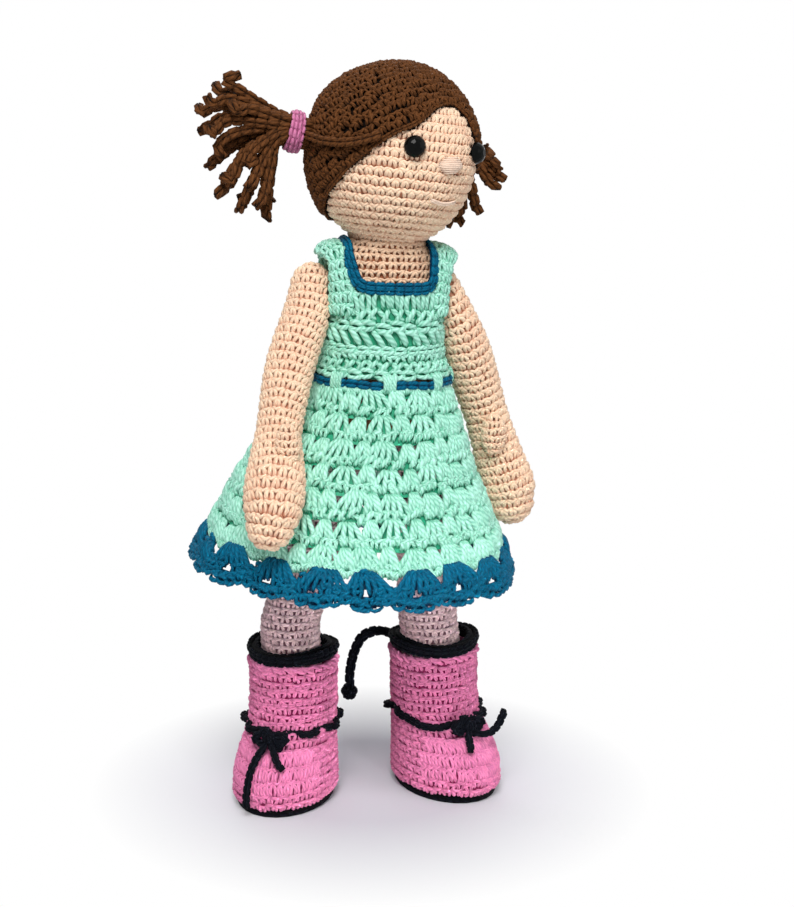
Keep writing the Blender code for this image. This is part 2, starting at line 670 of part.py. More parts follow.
def make_skirt(upper):
    """The skirt from under the ribbon to the border, and the border with its scalloped edge."""
    low = SKIRT_BOTTOM - HIP_PLACE[2]
    edge = BORDER_BOTTOM - HIP_PLACE[2]
    cloth_band(
        "dress_skirt", [skirt_ring(z, SKIRT_SIDES) for z in np.linspace(low, WAIST_HEIGHT, 7)], upper, "mint_yarn"
    )
    middle = (low - GAP + edge) / 2
    rings = [
        skirt_ring(edge, BORDER_SIDES, BORDER_SCALLOP),
        skirt_ring(middle, BORDER_SIDES),
        skirt_ring(low - GAP, BORDER_SIDES),
    ]
    cloth_band("hem_border", rings, upper, "blue_yarn")
    ribbon_low = WAIST_HEIGHT + GAP
    rings = []
    for height in (ribbon_low, ribbon_low + RIBBON_HEIGHT):
        half_x, half_y = body_half(height)
        rings.append(oval((0, 0, height), half_x + 2 * GAP, half_y + 2 * GAP, BODY_SIDES))
    ribbon = finish_mesh(loft(rings, close_start=False, close_end=False), "waist_ribbon", upper, "blue_yarn")
    wall = ribbon.modifiers.new("wall", "SOLIDIFY")
    wall.thickness = RIBBON_THICKNESS
    wall.offset = 1.0


# Arms


def arm_route(shares, sign):
    """The arm's middle line and its radius, from the shoulder down, in the shoulder's frame."""
    points = [
        (sign * out * ARM_DROP, -ahead * ARM_DROP, -down * ARM_DROP, girth * ARM_RADIUS)
        for out, ahead, down, girth in shares
    ]
    return smooth_route(points, ARM_POINTS)


def make_arm(side, sign, shares, shoulder):
    route = arm_route(shares, sign)
    radii = route[:, 3] / ARM_RADIUS
    sleeve = weld(as_mesh(tube(f"arm_{side}_line", route, 2 * ARM_RADIUS, shoulder, "skin_yarn", 5, radii)))
    arm = ball(f"arm_{side}", (0, 0, 0), (SHOULDER_RADIUS,) * 3, shoulder, "skin_yarn", 10, 16, turned(90, "X"))
    boolean(arm, sleeve, "UNION")
    tip = ball(f"arm_{side}_tip", route[-1][:3], (route[-1][3] * 1.02,) * 3, shoulder, None, 8, 14)
    boolean(arm, tip, "UNION")
    inner = SHOULDER_REACH - BODY_WIDTH / 2 * max(width for _, width, _ in BODY_OUTLINE_SHARES[8:])
    reach = inner - DRESS_THICKNESS / 4
    near, far = sorted((-sign * reach, -sign * ARM_DROP))
    boolean(arm, box(f"arm_{side}_end", (near, -ARM_DROP, -ARM_DROP), (far, ARM_DROP, ARM_DROP), shoulder), "DIFFERENCE")
    make_thumb(side, sign, route, sleeve, shoulder)


def make_thumb(side, sign, route, sleeve, shoulder):
    """The thumb, a small bobble sewn on the front of the hand."""
    row = route[int(THUMB_HEIGHT_SHARE * (len(route) - 1))]
    turn = math.radians(THUMB_TURN_DEG) * -sign
    out = Vector((math.sin(turn), -math.cos(turn), 0))
    centre = Vector(row[:3]) + out * row[3]
    radii = (THUMB_WIDTH / 2, THUMB_WIDTH / 2, THUMB_LENGTH / 2)
    thumb = ball(f"thumb_{side}_form", centre, radii, shoulder, "skin_yarn", 8, 12)
    boolean(thumb, sleeve, "DIFFERENCE")
    thumb = as_mesh(thumb)
    thumb.name = f"thumb_{side}"
    thumb.data.transform(Matrix.Translation(out * 1.5 * GAP))


# Legs and boots


def boot_outline(height, inset=0.0):
    """Half length, half width and forward shift of the boot's wall at a height."""
    share = height / BOOT_HEIGHT
    table = np.array(BOOT_OUTLINE_SHARES)
    values = [float(np.interp(share, table[:, 0], table[:, k])) for k in (1, 2, 3)]
    return values[0] * BOOT_LENGTH / 2 - inset, values[1] * BOOT_WIDTH / 2 - inset, values[2] * BOOT_LENGTH


def boot_ring(height, inset=0.0, sides=BOOT_SIDES):
    """A ring of the boot's wall in the boot's frame, with its toe towards -Y."""
    half_length, half_width, shift = boot_outline(height, inset)
    return oval((0, -shift, height), half_width, half_length, sides)


def boot_heights(low, high):
    inside = [share * BOOT_HEIGHT for share, *_ in BOOT_OUTLINE_SHARES]
    return [low] + [height for height in inside if low + BOOT_WALL / 2 < height < high - BOOT_WALL / 2] + [high]


def make_boot(side, sign, carrier):
    floor = SOLE_THICKNESS + GAP
    rings = [boot_ring(height) for height in boot_heights(floor, BOOT_HEIGHT)]
    upper = finish_mesh(loft(rings, False, False), f"boot_upper_{side}", carrier, "boot_yarn")
    wall = upper.modifiers.new("wall", "SOLIDIFY")
    wall.thickness = BOOT_WALL
    wall.offset = -1.0
    rings = [boot_ring(0, SOLE_INSET), boot_ring(SOLE_THICKNESS, SOLE_INSET)]
    finish_mesh(loft(rings), f"boot_sole_{side}", carrier, "navy_yarn")
    top = BOOT_HEIGHT + GAP
    outer = BOOT_WIDTH / 2 * BOOT_OUTLINE_SHARES[-1][2]
    outer_back = BOOT_LENGTH / 2 * BOOT_OUTLINE_SHARES[-1][1]
    round_over = CUFF_WALL / 4
    rings = []
    for inset, height in (
        (round_over, top), (0, top + round_over), (0, top + CUFF_HEIGHT - round_over), (round_over, top + CUFF_HEIGHT),
        (CUFF_WALL - round_over, top + CUFF_HEIGHT), (CUFF_WALL, top + CUFF_HEIGHT - round_over),
        (CUFF_WALL, top + round_over), (CUFF_WALL - round_over, top),
    ):
        rings.append(oval((0, 0, height), outer - inset, outer_back - inset, BOOT_SIDES))
    bm = loft(rings + rings[:1], False, False)
    bmesh.ops.remove_doubles(bm, verts=bm.verts, dist=GAP / 30)
    finish_mesh(bm, f"boot_cuff_{side}", carrier, "navy_yarn")
    make_lace(side, sign, carrier)
    make_pull(side, carrier)


def lace_ring_point(angle, height, off):
    """A point outside the boot's wall at an angle from its toe, at a height."""
    half_length, half_width, shift = boot_outline(height)
    return Vector(
        ((half_width + off) * math.sin(angle), -shift - (half_length + off) * math.cos(angle), height)
    )


def make_lace(side, sign, carrier):
    """The lace round the ankle, its bow and its two ends."""
    off = LACE_DIAMETER / 2 + 2 * GAP
    around = [
        lace_ring_point(2 * math.pi * i / LACE_POINTS, LACE_HEIGHT, off) for i in range(LACE_POINTS)
    ]
    tube(f"lace_{side}", around, LACE_DIAMETER, carrier, "navy_yarn", 1, closed=True)
    front = lace_ring_point(0, LACE_HEIGHT, off)
    ahead = LACE_DIAMETER / 2 + GAP + BOW_KNOT_RADIUS
    centre = front + Vector((0, -ahead, 0))
    knot = ball(f"bow_{side}", centre, (BOW_KNOT_RADIUS,) * 3, carrier, "navy_yarn", 7, 10)
    for name, way in (("near", -1), ("far", 1)):
        loop_centre = centre + Vector((way * (BOW_LOOP_RADIUS + BOW_KNOT_RADIUS * 0.7), 0, BOW_KNOT_RADIUS / 5))
        points = [
            loop_centre + Vector((BOW_LOOP_RADIUS * math.cos(a), 0, BOW_LOOP_RADIUS * 0.8 * math.sin(a)))
            for a in np.linspace(0, 2 * math.pi, 12, endpoint=False)
        ]
        loop = as_mesh(tube(f"bow_loop_{side}_{name}", points, 2 * BOW_LOOP_TUBE, carrier, "navy_yarn", 1, closed=True))
        boolean(knot, loop, "UNION")
    make_lace_ends(side, carrier)


def make_lace_ends(side, carrier):
    """Two loose ends from the knot, one long and one short."""
    for length, table, count in (("long", LONG_END_POINTS, 12), ("short", SHORT_END_POINTS, 7)):
        route = smooth_route(table[side], count)
        tube(f"lace_end_{length}_{side}", route, LACE_DIAMETER, carrier, "navy_yarn", 2)


def make_pull(side, carrier):
    """The pull cord from the back of the cuff, with a knob on its end."""
    route = smooth_route(PULL_POINTS[side], 12)
    tube(f"pull_cord_{side}", route, PULL_DIAMETER, carrier, "navy_yarn", 2)
    way = Vector(route[-1] - route[-2]).normalized()
    ball(
        f"pull_knob_{side}", Vector(route[-1]) + way * (PULL_KNOB_RADIUS + GAP), (PULL_KNOB_RADIUS,) * 3,
        carrier, "navy_yarn", 8, 12,
    )


def foot_outline(height, clear):
    """The foot's half length, half width and forward shift: the boot's, clear of its sloping wall."""
    fronts, backs, widths = [], [], []
    for level in (height, height + clear):
        half_length, half_width, shift = boot_outline(level, clear)
        fronts.append(half_length + shift)
        backs.append(half_length - shift)
        widths.append(half_width)
    return (min(fronts) + min(backs)) / 2, min(widths), (min(fronts) - min(backs)) / 2


def make_leg(name, shares, boot_place, boot_turn, body_cutter, root):
    """A leg with its foot: flat rings from the boot's sole to the hips."""
    clear = BOOT_WALL + 2 * GAP
    floor = SOLE_THICKNESS + 2 * GAP
    foot_top = BOOT_HEIGHT * 0.5
    top = HIP_PLACE[2]
    turn = math.radians(boot_turn)
    rings = []
    for height in boot_heights(floor, foot_top):
        half_length, half_width, shift = foot_outline(height, clear)
        centre = Vector(boot_place) + Vector((shift * math.sin(turn), -shift * math.cos(turn), height))
        rings.append(oval(centre, half_width, half_length, LEG_SIDES, turn))
    table = np.array(shares)
    for share in (0.36, 0.46, 0.62, 0.78, 0.9, 1.0, 1.05):
        height = share * top
        x = float(np.interp(share, table[:, 0], table[:, 1])) * BOOT_REACH
        rings.append(oval((x, HIP_PLACE[1] * share, height), LEG_RADIUS, LEG_RADIUS, LEG_SIDES))
    leg = finish_mesh(loft(rings), name, root, "tights_yarn")
    boolean(leg, body_cutter, "DIFFERENCE")


def settle(root):
    """Moves the whole doll so its box is centred over the origin and its soles are on the floor."""
    bpy.context.view_layer.update()
    graph = bpy.context.evaluated_depsgraph_get()
    corners = []
    for found in bpy.data.objects:
        if found.type == "MESH" and not found.hide_render:
            shown = found.evaluated_get(graph)
            corners += [shown.matrix_world @ vert.co for vert in shown.data.vertices]
    low, high = np.min(corners, axis=0), np.max(corners, axis=0)
    root.location = (-(low[0] + high[0]) / 2, -(low[1] + high[1]) / 2, -low[2])


def main():
    clear_scene()
    root = empty("doll", (0, 0, 0))
    upper = empty("upper_body", HIP_PLACE, root, turned(BODY_LEAN_DEG, "Y"))
    neck_top = BODY_HEIGHT - BODY_BELOW_HIP
    neck = empty("neck", (0, 0, neck_top), upper, turned(HEAD_LEAN_DEG, "Y"))
    head_place = (0, 0, HEAD_HEIGHT / 2 - HEAD_SEAT * 2)
    head = empty("head_carrier", head_place, neck, turned(HEAD_TURN_DEG, "Z"))
    make_head(head)
    make_hair(head)
    make_face(head)
    for side, sign in (("right", -1), ("left", 1)):
        make_bunch(side, sign, head)
        make_lock(side, sign, head)
    make_body(upper, head)
    make_bodice(upper)
    make_skirt(upper)
    for side, sign, shares in (("right", -1, RIGHT_ARM_SHARES), ("left", 1, LEFT_ARM_SHARES)):
        shoulder = empty(f"shoulder_{side}", (sign * SHOULDER_REACH, 0, SHOULDER_HEIGHT), upper)
        make_arm(side, sign, shares, shoulder)
    cutter = helper(finish_mesh(loft(body_rings(body_heights(), GAP)), "hip_clearance", upper, None))
    cutter.data.transform(Matrix.Translation((0, 0, -GAP)))
    for side, sign, turn, shares in (
        ("right", -1, RIGHT_BOOT_TURN_DEG, RIGHT_LEG_SHARES), ("left", 1, LEFT_BOOT_TURN_DEG, LEFT_LEG_SHARES),
    ):
        place = (sign * BOOT_REACH, 0, 0)
        boot = empty(f"boot_{side}", place, root, turned(turn, "Z"))
        make_boot(side, sign, boot)
        make_leg(f"leg_{side}", shares, place, turn, cutter, root)
    settle(root)


main()
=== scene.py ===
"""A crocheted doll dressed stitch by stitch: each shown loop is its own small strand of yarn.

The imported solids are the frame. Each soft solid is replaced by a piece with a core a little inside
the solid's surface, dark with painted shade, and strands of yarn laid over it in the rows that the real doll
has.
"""

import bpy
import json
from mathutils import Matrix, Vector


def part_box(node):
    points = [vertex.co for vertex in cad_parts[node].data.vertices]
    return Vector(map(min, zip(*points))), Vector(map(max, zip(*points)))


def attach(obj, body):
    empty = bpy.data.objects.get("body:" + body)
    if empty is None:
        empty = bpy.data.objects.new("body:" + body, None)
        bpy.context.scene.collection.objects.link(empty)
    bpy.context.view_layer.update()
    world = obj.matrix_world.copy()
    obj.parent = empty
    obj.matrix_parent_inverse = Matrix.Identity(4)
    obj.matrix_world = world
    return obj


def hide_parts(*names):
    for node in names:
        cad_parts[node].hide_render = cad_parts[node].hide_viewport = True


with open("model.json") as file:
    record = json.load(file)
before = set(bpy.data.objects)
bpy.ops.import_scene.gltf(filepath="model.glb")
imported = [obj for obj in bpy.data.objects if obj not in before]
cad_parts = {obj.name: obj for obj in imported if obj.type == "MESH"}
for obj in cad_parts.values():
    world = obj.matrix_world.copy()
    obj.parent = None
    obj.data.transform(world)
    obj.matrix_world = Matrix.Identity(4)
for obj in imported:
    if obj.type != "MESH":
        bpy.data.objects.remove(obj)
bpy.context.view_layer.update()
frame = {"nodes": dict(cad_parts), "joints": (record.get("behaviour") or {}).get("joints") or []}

import json
import logging
import math
from dataclasses import dataclass
from enum import Enum
from typing import Callable, ClassVar, Optional, Sequence, Union

import bpy
import numpy as np
from mathutils import Matrix, Vector

LOG = logging.getLogger("doll")
SEED = 7
MILLI = 0.001
# How far under its surface a core made here lies, and how far its colour is from the deep one, painted shade,
# to bright
CORE_DEPTH = -0.0007
CORE_SHADE_TONE = 0.3
# How far a core made of a stuffed solid is drawn in
CORE_INSET = 0.0018

Array = np.ndarray
Thing = bpy.types.Object
Place = tuple[float, float, float]
Table = tuple[tuple[float, ...], ...]
Colour = tuple[float, float, float]
Keep = Callable[[Array], Array]


class Side(Enum):
    """The doll's own right and left, with the sign of X there."""

    RIGHT = -1
    LEFT = 1

    @property
    def word(self) -> str:
        """The side's word in names."""
        return self.name.lower()


def tint(red: int, green: int, blue: int) -> Colour:
    """A colour as it looks on a screen, made linear.

    Args:
        red, green, blue: the screen's values, 0 to 255.

    Returns:
        The linear colour.
    """
    shares = (value / 255 for value in (red, green, blue))
    return tuple(s / 12.92 if s <= 0.04045 else ((s + 0.055) / 1.055) ** 2.4 for s in shares)


# Materials


class Value:
    """A socket that takes part in arithmetic: each operator adds its Math node."""

    def __init__(self, shading: "Shading", socket: bpy.types.NodeSocket) -> None:
        """Keeps the socket with the material it belongs to."""
        self.shading = shading
        self.socket = socket

    def _math(self, operation: str, *others: Union["Value", float]) -> "Value":
        """One Math node on this value and others."""
        return self.shading.node(
            "ShaderNodeMath", {"operation": operation}, {i: v for i, v in enumerate((self, *others))}
        )

    def __add__(self, other: Union["Value", float]) -> "Value":
        """self + other."""
        return self._math("ADD", other)

    __radd__ = __add__

    def __mul__(self, other: Union["Value", float]) -> "Value":
        """self * other."""
        return self._math("MULTIPLY", other)

    __rmul__ = __mul__

    def __sub__(self, other: Union["Value", float]) -> "Value":
        """self - other."""
        return self._math("SUBTRACT", other)

    def __rsub__(self, other: float) -> "Value":
        """other - self."""
        return self * -1 + other

    def __pow__(self, other: float) -> "Value":
        """self to a power."""
        return self._math("POWER", other)

    def sine(self) -> "Value":
        """The sine of self."""
        return self._math("SINE")

    def clamped(self) -> "Value":
        """self held between 0 and 1."""
        return self._math("MINIMUM", 1.0)._math("MAXIMUM", 0.0)


class Shading:
    """The nodes of one material, or of the world."""

    def __init__(self, owner: Union[bpy.types.Material, bpy.types.World]) -> None:
        """Takes up the owner's nodes and the shader among them."""
        owner.use_nodes = True
        self.owner = owner
        self.tree = owner.node_tree
        self.shader = next(n for n in self.tree.nodes if n.type in ("BSDF_PRINCIPLED", "BACKGROUND"))

    def node(
        self, kind: str, settings: Optional[dict] = None, inputs: Optional[dict] = None,
        output: Union[int, str] = 0,
    ) -> Value:
        """Adds any node.

        Args:
            kind: the node's type name.
            settings: its properties, set first.
            inputs: values or links by socket name or number.
            output: the socket to hand back.

        Returns:
            The output socket as a Value.
        """
        made = self.tree.nodes.new(kind)
        for key, value in (settings or {}).items():
            setattr(made, key, value)
        for key, value in (inputs or {}).items():
            if isinstance(value, Value):
                self.tree.links.new(value.socket, made.inputs[key])
            else:
                made.inputs[key].default_value = value
        return Value(self, made.outputs[output])

    def mix(
        self, factor: Union[Value, float], low: Union[Value, Colour], high: Union[Value, Colour],
        blend: str = "MIX",
    ) -> Value:
        """A colour between two, through a Mix node.

        Args:
            factor: 0 for low, 1 for high.
            low, high: colours or links.
            blend: the node's blend type.

        Returns:
            The mixed colour.
        """
        colours = [c if isinstance(c, Value) else (*c, 1.0) for c in (low, high)]
        settings = {"data_type": "RGBA", "blend_type": blend}
        return self.node("ShaderNodeMix", settings, {0: factor, 6: colours[0], 7: colours[1]}, 2)

    def feed(self, **links: Value) -> None:
        """Links values to the shader's sockets, named with _ for a space."""
        for name, value in links.items():
            self.tree.links.new(value.socket, self.shader.inputs[name.replace("_", " ")])

    def fix(self, **values: Union[float, Sequence[float]]) -> None:
        """Sets the shader's own sockets, named with _ for a space."""
        for name, value in values.items():
            self.shader.inputs[name.replace("_", " ")].default_value = value

    def object_noise(self, scale: float, detail: float, **others: float) -> Value:
        """Noise that is fixed to the object, named sockets of it with other values."""
        place = self.node("ShaderNodeTexCoord", None, None, "Object")
        return self.node(
            "ShaderNodeTexNoise", None, {"Vector": place, "Scale": scale, "Detail": detail, **others}
        )

    def seen(self) -> tuple[Value, Value]:
        """1 for the camera's own rays, and 1 for those and the ones mirrored or let through."""
        path = self.tree.nodes.new("ShaderNodeLightPath")
        rays = [Value(self, path.outputs[f"Is {ray} Ray"]) for ray in ("Camera", "Glossy", "Transmission")]
        return rays[0], (rays[0] + rays[1] + rays[2]).clamped()


@dataclass(frozen=True)
class Yarn:
    """How one yarn looks: its colour, a deep colour painted as shade between stitches, and its twist."""

    name: str
    slot: str
    colour: Colour
    # deep is painted shade: the colour between stitches and where strands dip under
    deep: Colour
    roughness: float = 0.72
    sheen: float = 0.25
    specular: float = 0.18
    plies: int = 3
    twist: float = 0.5
    # How much darker the grooves between plies are painted: painted shade
    groove_shade: float = 0.45
    fleck: float = 0.10
    bump: float = 0.5

    def material(self) -> bpy.types.Material:
        """The yarn's material, made once.

        Returns:
            A material that reads the pieces' own yarn map and tone, and paints shade with the deep colour.
        """
        if self.name in bpy.data.materials:
            return bpy.data.materials[self.name]
        made = Shading(bpy.data.materials.new(self.name))
        strand = made.node("ShaderNodeUVMap", {"uv_map": "yarn"})
        parts = made.tree.nodes.new("ShaderNodeSeparateXYZ")
        made.tree.links.new(strand.socket, parts.inputs[0])
        along, around = Value(made, parts.outputs["X"]), Value(made, parts.outputs["Y"])
        turn = (around * float(self.plies) + along * self.twist) * (2 * math.pi)
        ply = turn.sine() * 0.5 + 0.5
        fuzz = made.object_noise(2600.0, 3.0, Roughness=0.7)
        cloud = made.object_noise(420.0, 2.0)
        tone = made.node("ShaderNodeAttribute", {"attribute_name": "tone"}, None, "Fac")
        # Painted shade: the colour runs from deep to the yarn's own by the tone, with flecks at random, and
        # is darker in the grooves between plies
        lit = (
            tone + (cloud - 0.5) * self.fleck * 2 + (fuzz - 0.5) * self.fleck * 2
            - (1 - ply) * self.groove_shade * 0.5
        ).clamped()
        made.feed(Base_Color=made.mix(lit, self.deep, self.colour))
        made.feed(Roughness=fuzz * 0.2 + (self.roughness - 0.1))
        height = ply ** 0.7 * 0.7 + fuzz * 0.45
        bump = made.node(
            "ShaderNodeBump", None, {"Strength": self.bump, "Distance": 0.0003, "Height": height}
        )
        made.feed(Normal=bump)
        made.fix(Sheen_Weight=self.sheen, Sheen_Roughness=0.45, Specular_IOR_Level=self.specular)
        return made.owner


# Each yarn's second colour is its deep one: painted shade between stitches
SKIN = Yarn("skin_cotton", "skin_yarn", tint(254, 228, 199), tint(214, 142, 112), sheen=0.15)
# The skin yarn again, a little darker: painted shade on the neck and shoulders
SHADED_NECK = Yarn("neck_cotton_shaded", "skin_yarn", tint(244, 214, 184), tint(180, 116, 84), sheen=0.15)
HAIR = Yarn(
    "hair_cotton", "hair_yarn", tint(108, 66, 34), tint(11, 3, 0), sheen=0.0, fleck=0.42, specular=0.10,
    groove_shade=0.8
)
MINT = Yarn(
    "mint_cotton", "mint_yarn", tint(192, 250, 233), tint(44, 162, 124), roughness=0.5, sheen=0.05,
    specular=0.28, twist=0.8, groove_shade=0.9, fleck=0.16
)
BLUE = Yarn(
    "blue_cotton", "blue_yarn", tint(0, 108, 144), tint(0, 30, 58), roughness=0.6, sheen=0.0, fleck=0.35,
    specular=0.10, twist=0.8, groove_shade=0.8
)
TIGHTS = Yarn("tights_cotton", "tights_yarn", tint(248, 214, 219), tint(146, 108, 120), sheen=0.12)
BOOT = Yarn("boot_cotton", "boot_yarn", tint(242, 142, 190), tint(134, 40, 84), sheen=0.08)
NAVY = Yarn("navy_cotton", "navy_yarn", tint(9, 13, 22), tint(2, 3, 6), sheen=0.0, specular=0.08)
TIE = Yarn("tie_cotton", "tie_yarn", tint(222, 132, 178), tint(128, 54, 92))
THREAD = Yarn(
    "face_thread", "thread", tint(252, 226, 206), tint(232, 186, 160), roughness=0.5, plies=5, twist=0.2,
    groove_shade=0.2
)


@dataclass(frozen=True)
class Gloss:
    """How a smooth hard piece looks: two near colours in faint clouds, and how rough it is."""

    name: str
    low: Colour
    high: Colour
    scale: float
    detail: float
    roughness: tuple[float, float]
    specular: float = 0.5

    def material(self) -> bpy.types.Material:
        """The material, made anew."""
        made = Shading(bpy.data.materials.new(self.name))
        cloud = made.object_noise(self.scale, self.detail)
        least, span = self.roughness
        made.feed(Base_Color=made.mix(cloud, self.low, self.high), Roughness=cloud * span + least)
        made.fix(Specular_IOR_Level=self.specular)
        return made.owner


EYE = Gloss("eye_gloss", tint(4, 5, 5), tint(12, 14, 13), 500.0, 3.0, (0.04, 0.06), 0.07)
WASHER = Gloss("washer_white", tint(214, 214, 208), tint(234, 234, 230), 900.0, 4.0, (0.35, 0.15))


# Yarn geometry


def unit(ways: Array) -> Array:
    """The same ways, each one long."""
    return ways / np.maximum(np.linalg.norm(ways, axis=-1, keepdims=True), 1e-12)


def runs(points: Array, axis: int = 0) -> Array:
    """How long each step of some lines of points is."""
    return np.linalg.norm(np.diff(points, axis=axis), axis=-1)


def spokes(count: int) -> Array:
    """Angles spread evenly round a circle, its end left out."""
    return 2 * math.pi * np.arange(count) / count


def circle(count: int) -> Array:
    """Angles right round a circle, its start again at the end."""
    return np.linspace(0, 2 * math.pi, count)


def between(table: Table, share: Array) -> tuple[Array, ...]:
    """The columns of a table at shares that its first column gives."""
    first, *others = np.array(table).T
    return tuple(np.interp(share, first, column) for column in others)


class YarnMesh:
    """Gathers strands of yarn, then makes one mesh of them."""

    def __init__(self) -> None:
        """Starts empty."""
        self.points: list[Array] = []
        self.quads: list[Array] = []
        self.maps: list[Array] = []
        self.tones: list[Array] = []
        self.count = 0

    def sweep(
        self, paths: Array, ups: Array, radii: Array, tones: Array, sides: int = 6, flat: float = 1.0,
    ) -> None:
        """Adds round strands along many paths at once.

        Args:
            paths: points, strands by steps by 3.
            ups: the way out of the cloth at each point.
            radii: strands by steps.
            tones: how far from the deep colour, which is painted shade, to bright, strands by steps.
            sides: faces round a strand, an even number.
            flat: how thick a strand is across the cloth, as a share.
        """
        strands, steps, _ = paths.shape
        way = unit(np.gradient(paths, axis=1))
        side = unit(np.cross(way, ups))
        out, angle = np.cross(side, way), spokes(sides)
        ring = out[:, :, None] * np.cos(angle)[:, None] * flat + side[:, :, None] * np.sin(angle)[:, None]
        points = paths[:, :, None] + ring * radii[:, :, None, None]
        self.points.append(points.reshape(-1, 3))
        self.tones.append(np.repeat(tones.reshape(-1), sides))
        number = np.arange(strands * steps * sides).reshape(strands, steps, sides) + self.count
        self.count += number.size
        after = np.roll(number, -1, axis=2)
        walls = np.stack((number[:, :-1], after[:, :-1], after[:, 1:], number[:, 1:]), axis=-1)
        run = np.concatenate((np.zeros((strands, 1)), np.cumsum(runs(paths, 1), axis=1)), axis=1)
        run = run / (2 * np.maximum(radii.mean(axis=1, keepdims=True), 1e-9))
        u = np.broadcast_to(run[:, :, None], number.shape)
        low, high = np.arange(sides) / sides, np.arange(1, sides + 1) / sides
        v0, v1 = (np.broadcast_to(v, (strands, steps - 1, sides)) for v in (low, high))
        corners = ((u[:, :-1], v0), (u[:, :-1], v1), (u[:, 1:], v1), (u[:, 1:], v0))
        self.quads.append(walls.reshape(-1, 4))
        self.maps.append(np.stack([np.stack(c, axis=-1) for c in corners], axis=-2).reshape(-1, 4, 2))
        for ring_at, order in ((number[:, 0], -1), (number[:, -1], 1)):
            for start in range(1, sides - 2, 2):
                cap = ring_at[:, [0, start, start + 1, start + 2]][:, ::order]
                self.quads.append(cap)
                self.maps.append(np.zeros((strands, 4, 2)))

    def build(self, name: str, yarn: Yarn) -> Thing:
        """Makes the object.

        Args:
            name: the piece's name.
            yarn: its finish.

        Returns:
            The new object, smooth shaded.
        """
        points, quads, maps, tones = (
            np.concatenate(g) for g in (self.points, self.quads, self.maps, self.tones)
        )
        mesh = bpy.data.meshes.new(name)
        mesh.vertices.add(len(points))
        mesh.vertices.foreach_set("co", points.astype(np.float32).reshape(-1))
        mesh.loops.add(quads.size)
        mesh.loops.foreach_set("vertex_index", quads.astype(np.int32).reshape(-1))
        mesh.polygons.add(len(quads))
        mesh.polygons.foreach_set("loop_start", np.arange(0, quads.size, 4, dtype=np.int32))
        mesh.update(calc_edges=True)
        layer = mesh.uv_layers.new(name="yarn")
        layer.data.foreach_set("uv", maps.astype(np.float32).reshape(-1))
        tone = mesh.attributes.new("tone", "FLOAT", "POINT")
        tone.data.foreach_set("value", tones.astype(np.float32))
        mesh.shade_smooth()
        mesh.materials.append(yarn.material())
        made = bpy.data.objects.new(name, mesh)
        bpy.context.scene.collection.objects.link(made)
        return made


class Form:
    """A smooth surface through rings of points that stitches are laid on."""

    def __init__(self, rings: Array) -> None:
        """Keeps the rings, from the bottom one up, and finds the way out at each point.

        Args:
            rings: rings by points round by 3, each ring running the same way round.
        """
        self.rings = rings
        around = np.roll(rings, -1, axis=1) - np.roll(rings, 1, axis=1)
        along = np.gradient(rings, axis=0)
        out = unit(np.cross(around, along))
        middle = rings.mean(axis=1, keepdims=True)
        if (out * (rings - middle)).sum() < 0:
            out = -out
        self.out = out
        self.height = np.concatenate(([0.0], np.cumsum(runs(rings).mean(axis=1))))
        self.girths = np.linalg.norm(np.roll(rings, -1, axis=1) - rings, axis=2).sum(axis=1)

    @property
    def top(self) -> float:
        """The length of the surface from its first ring to its last."""
        return float(self.height[-1])

    def girth(self, height: float) -> float:
        """How far it is round the surface at a height along it."""
        return float(np.interp(height, self.height, self.girths))

    def at(self, turns: Array, heights: Array, off: Union[Array, float] = 0.0) -> Array:
        """Points on the surface, or off it.

        Args:
            turns: how far round, 0 to 1, of any shape.
            heights: how far up along the surface.
            off: how far out of it.

        Returns:
            Points of the same shape, with a last axis of 3.
        """
        count = self.rings.shape[1]
        level = np.interp(heights, self.height, np.arange(len(self.height)))
        low = np.minimum(level.astype(int), len(self.height) - 2)
        rise = (level - low)[..., None]
        column = np.mod(turns, 1.0) * count
        left = np.floor(column).astype(int) % count
        right = (left + 1) % count
        across = (column - np.floor(column))[..., None]
        found = []
        for grid in (self.rings, self.out):
            bottom = grid[low, left] * (1 - across) + grid[low, right] * across
            top = grid[low + 1, left] * (1 - across) + grid[low + 1, right] * across
            found.append(bottom * (1 - rise) + top * rise)
        return found[0] + unit(found[1]) * np.asarray(off)[..., None]


@dataclass(frozen=True)
class Strand:
    """One strand of a stitch: its line and girth as shares of the stitch's width, height and loft."""

    across: tuple[float, ...]
    up: tuple[float, ...]
    out: tuple[float, ...]
    girth: tuple[float, ...]


def strand(*steps: tuple[float, float, float, float]) -> Strand:
    """A strand from its steps, each across, up, out and girth."""
    return Strand(*zip(*steps))


def mirrored(one: Strand) -> Strand:
    """The strand on a stitch's other side."""
    return Strand(tuple(-x for x in one.across), one.up, one.out, one.girth)


LEG = strand(
    (-0.24, -0.12, -1.00, 0.15), (-0.25, 0.08, -0.30, 0.19), (-0.25, 0.30, 0.30, 0.220),
    (-0.29, 0.52, 0.70, 0.225), (-0.40, 0.68, 0.75, 0.205), (-0.56, 0.78, 0.20, 0.16),
)
RIDGE = strand(
    (-0.60, 0.90, -0.10, 0.14), (-0.32, 0.91, 0.50, 0.20), (0.00, 0.74, 0.88, 0.225),
    (0.32, 0.91, 0.50, 0.20), (0.60, 0.90, -0.10, 0.14),
)
SINGLE = (LEG, mirrored(LEG), RIDGE)
SINGLE_LIGHT = (
    strand(
        (-0.24, -0.10, -1.0, 0.15), (-0.25, 0.24, 0.3, 0.215), (-0.33, 0.58, 0.8, 0.235),
        (-0.54, 0.80, 0.0, 0.15)
    ),
    strand(
        (0.24, -0.10, -1.0, 0.15), (0.25, 0.24, 0.25, 0.215), (0.33, 0.58, 0.75, 0.235),
        (0.54, 0.80, 0.0, 0.15)
    ),
    strand(
        (-0.58, 0.90, -0.2, 0.14), (-0.2, 0.82, 0.7, 0.22), (0.2, 0.80, 0.75, 0.22), (0.58, 0.90, -0.2, 0.14)
    ),
)
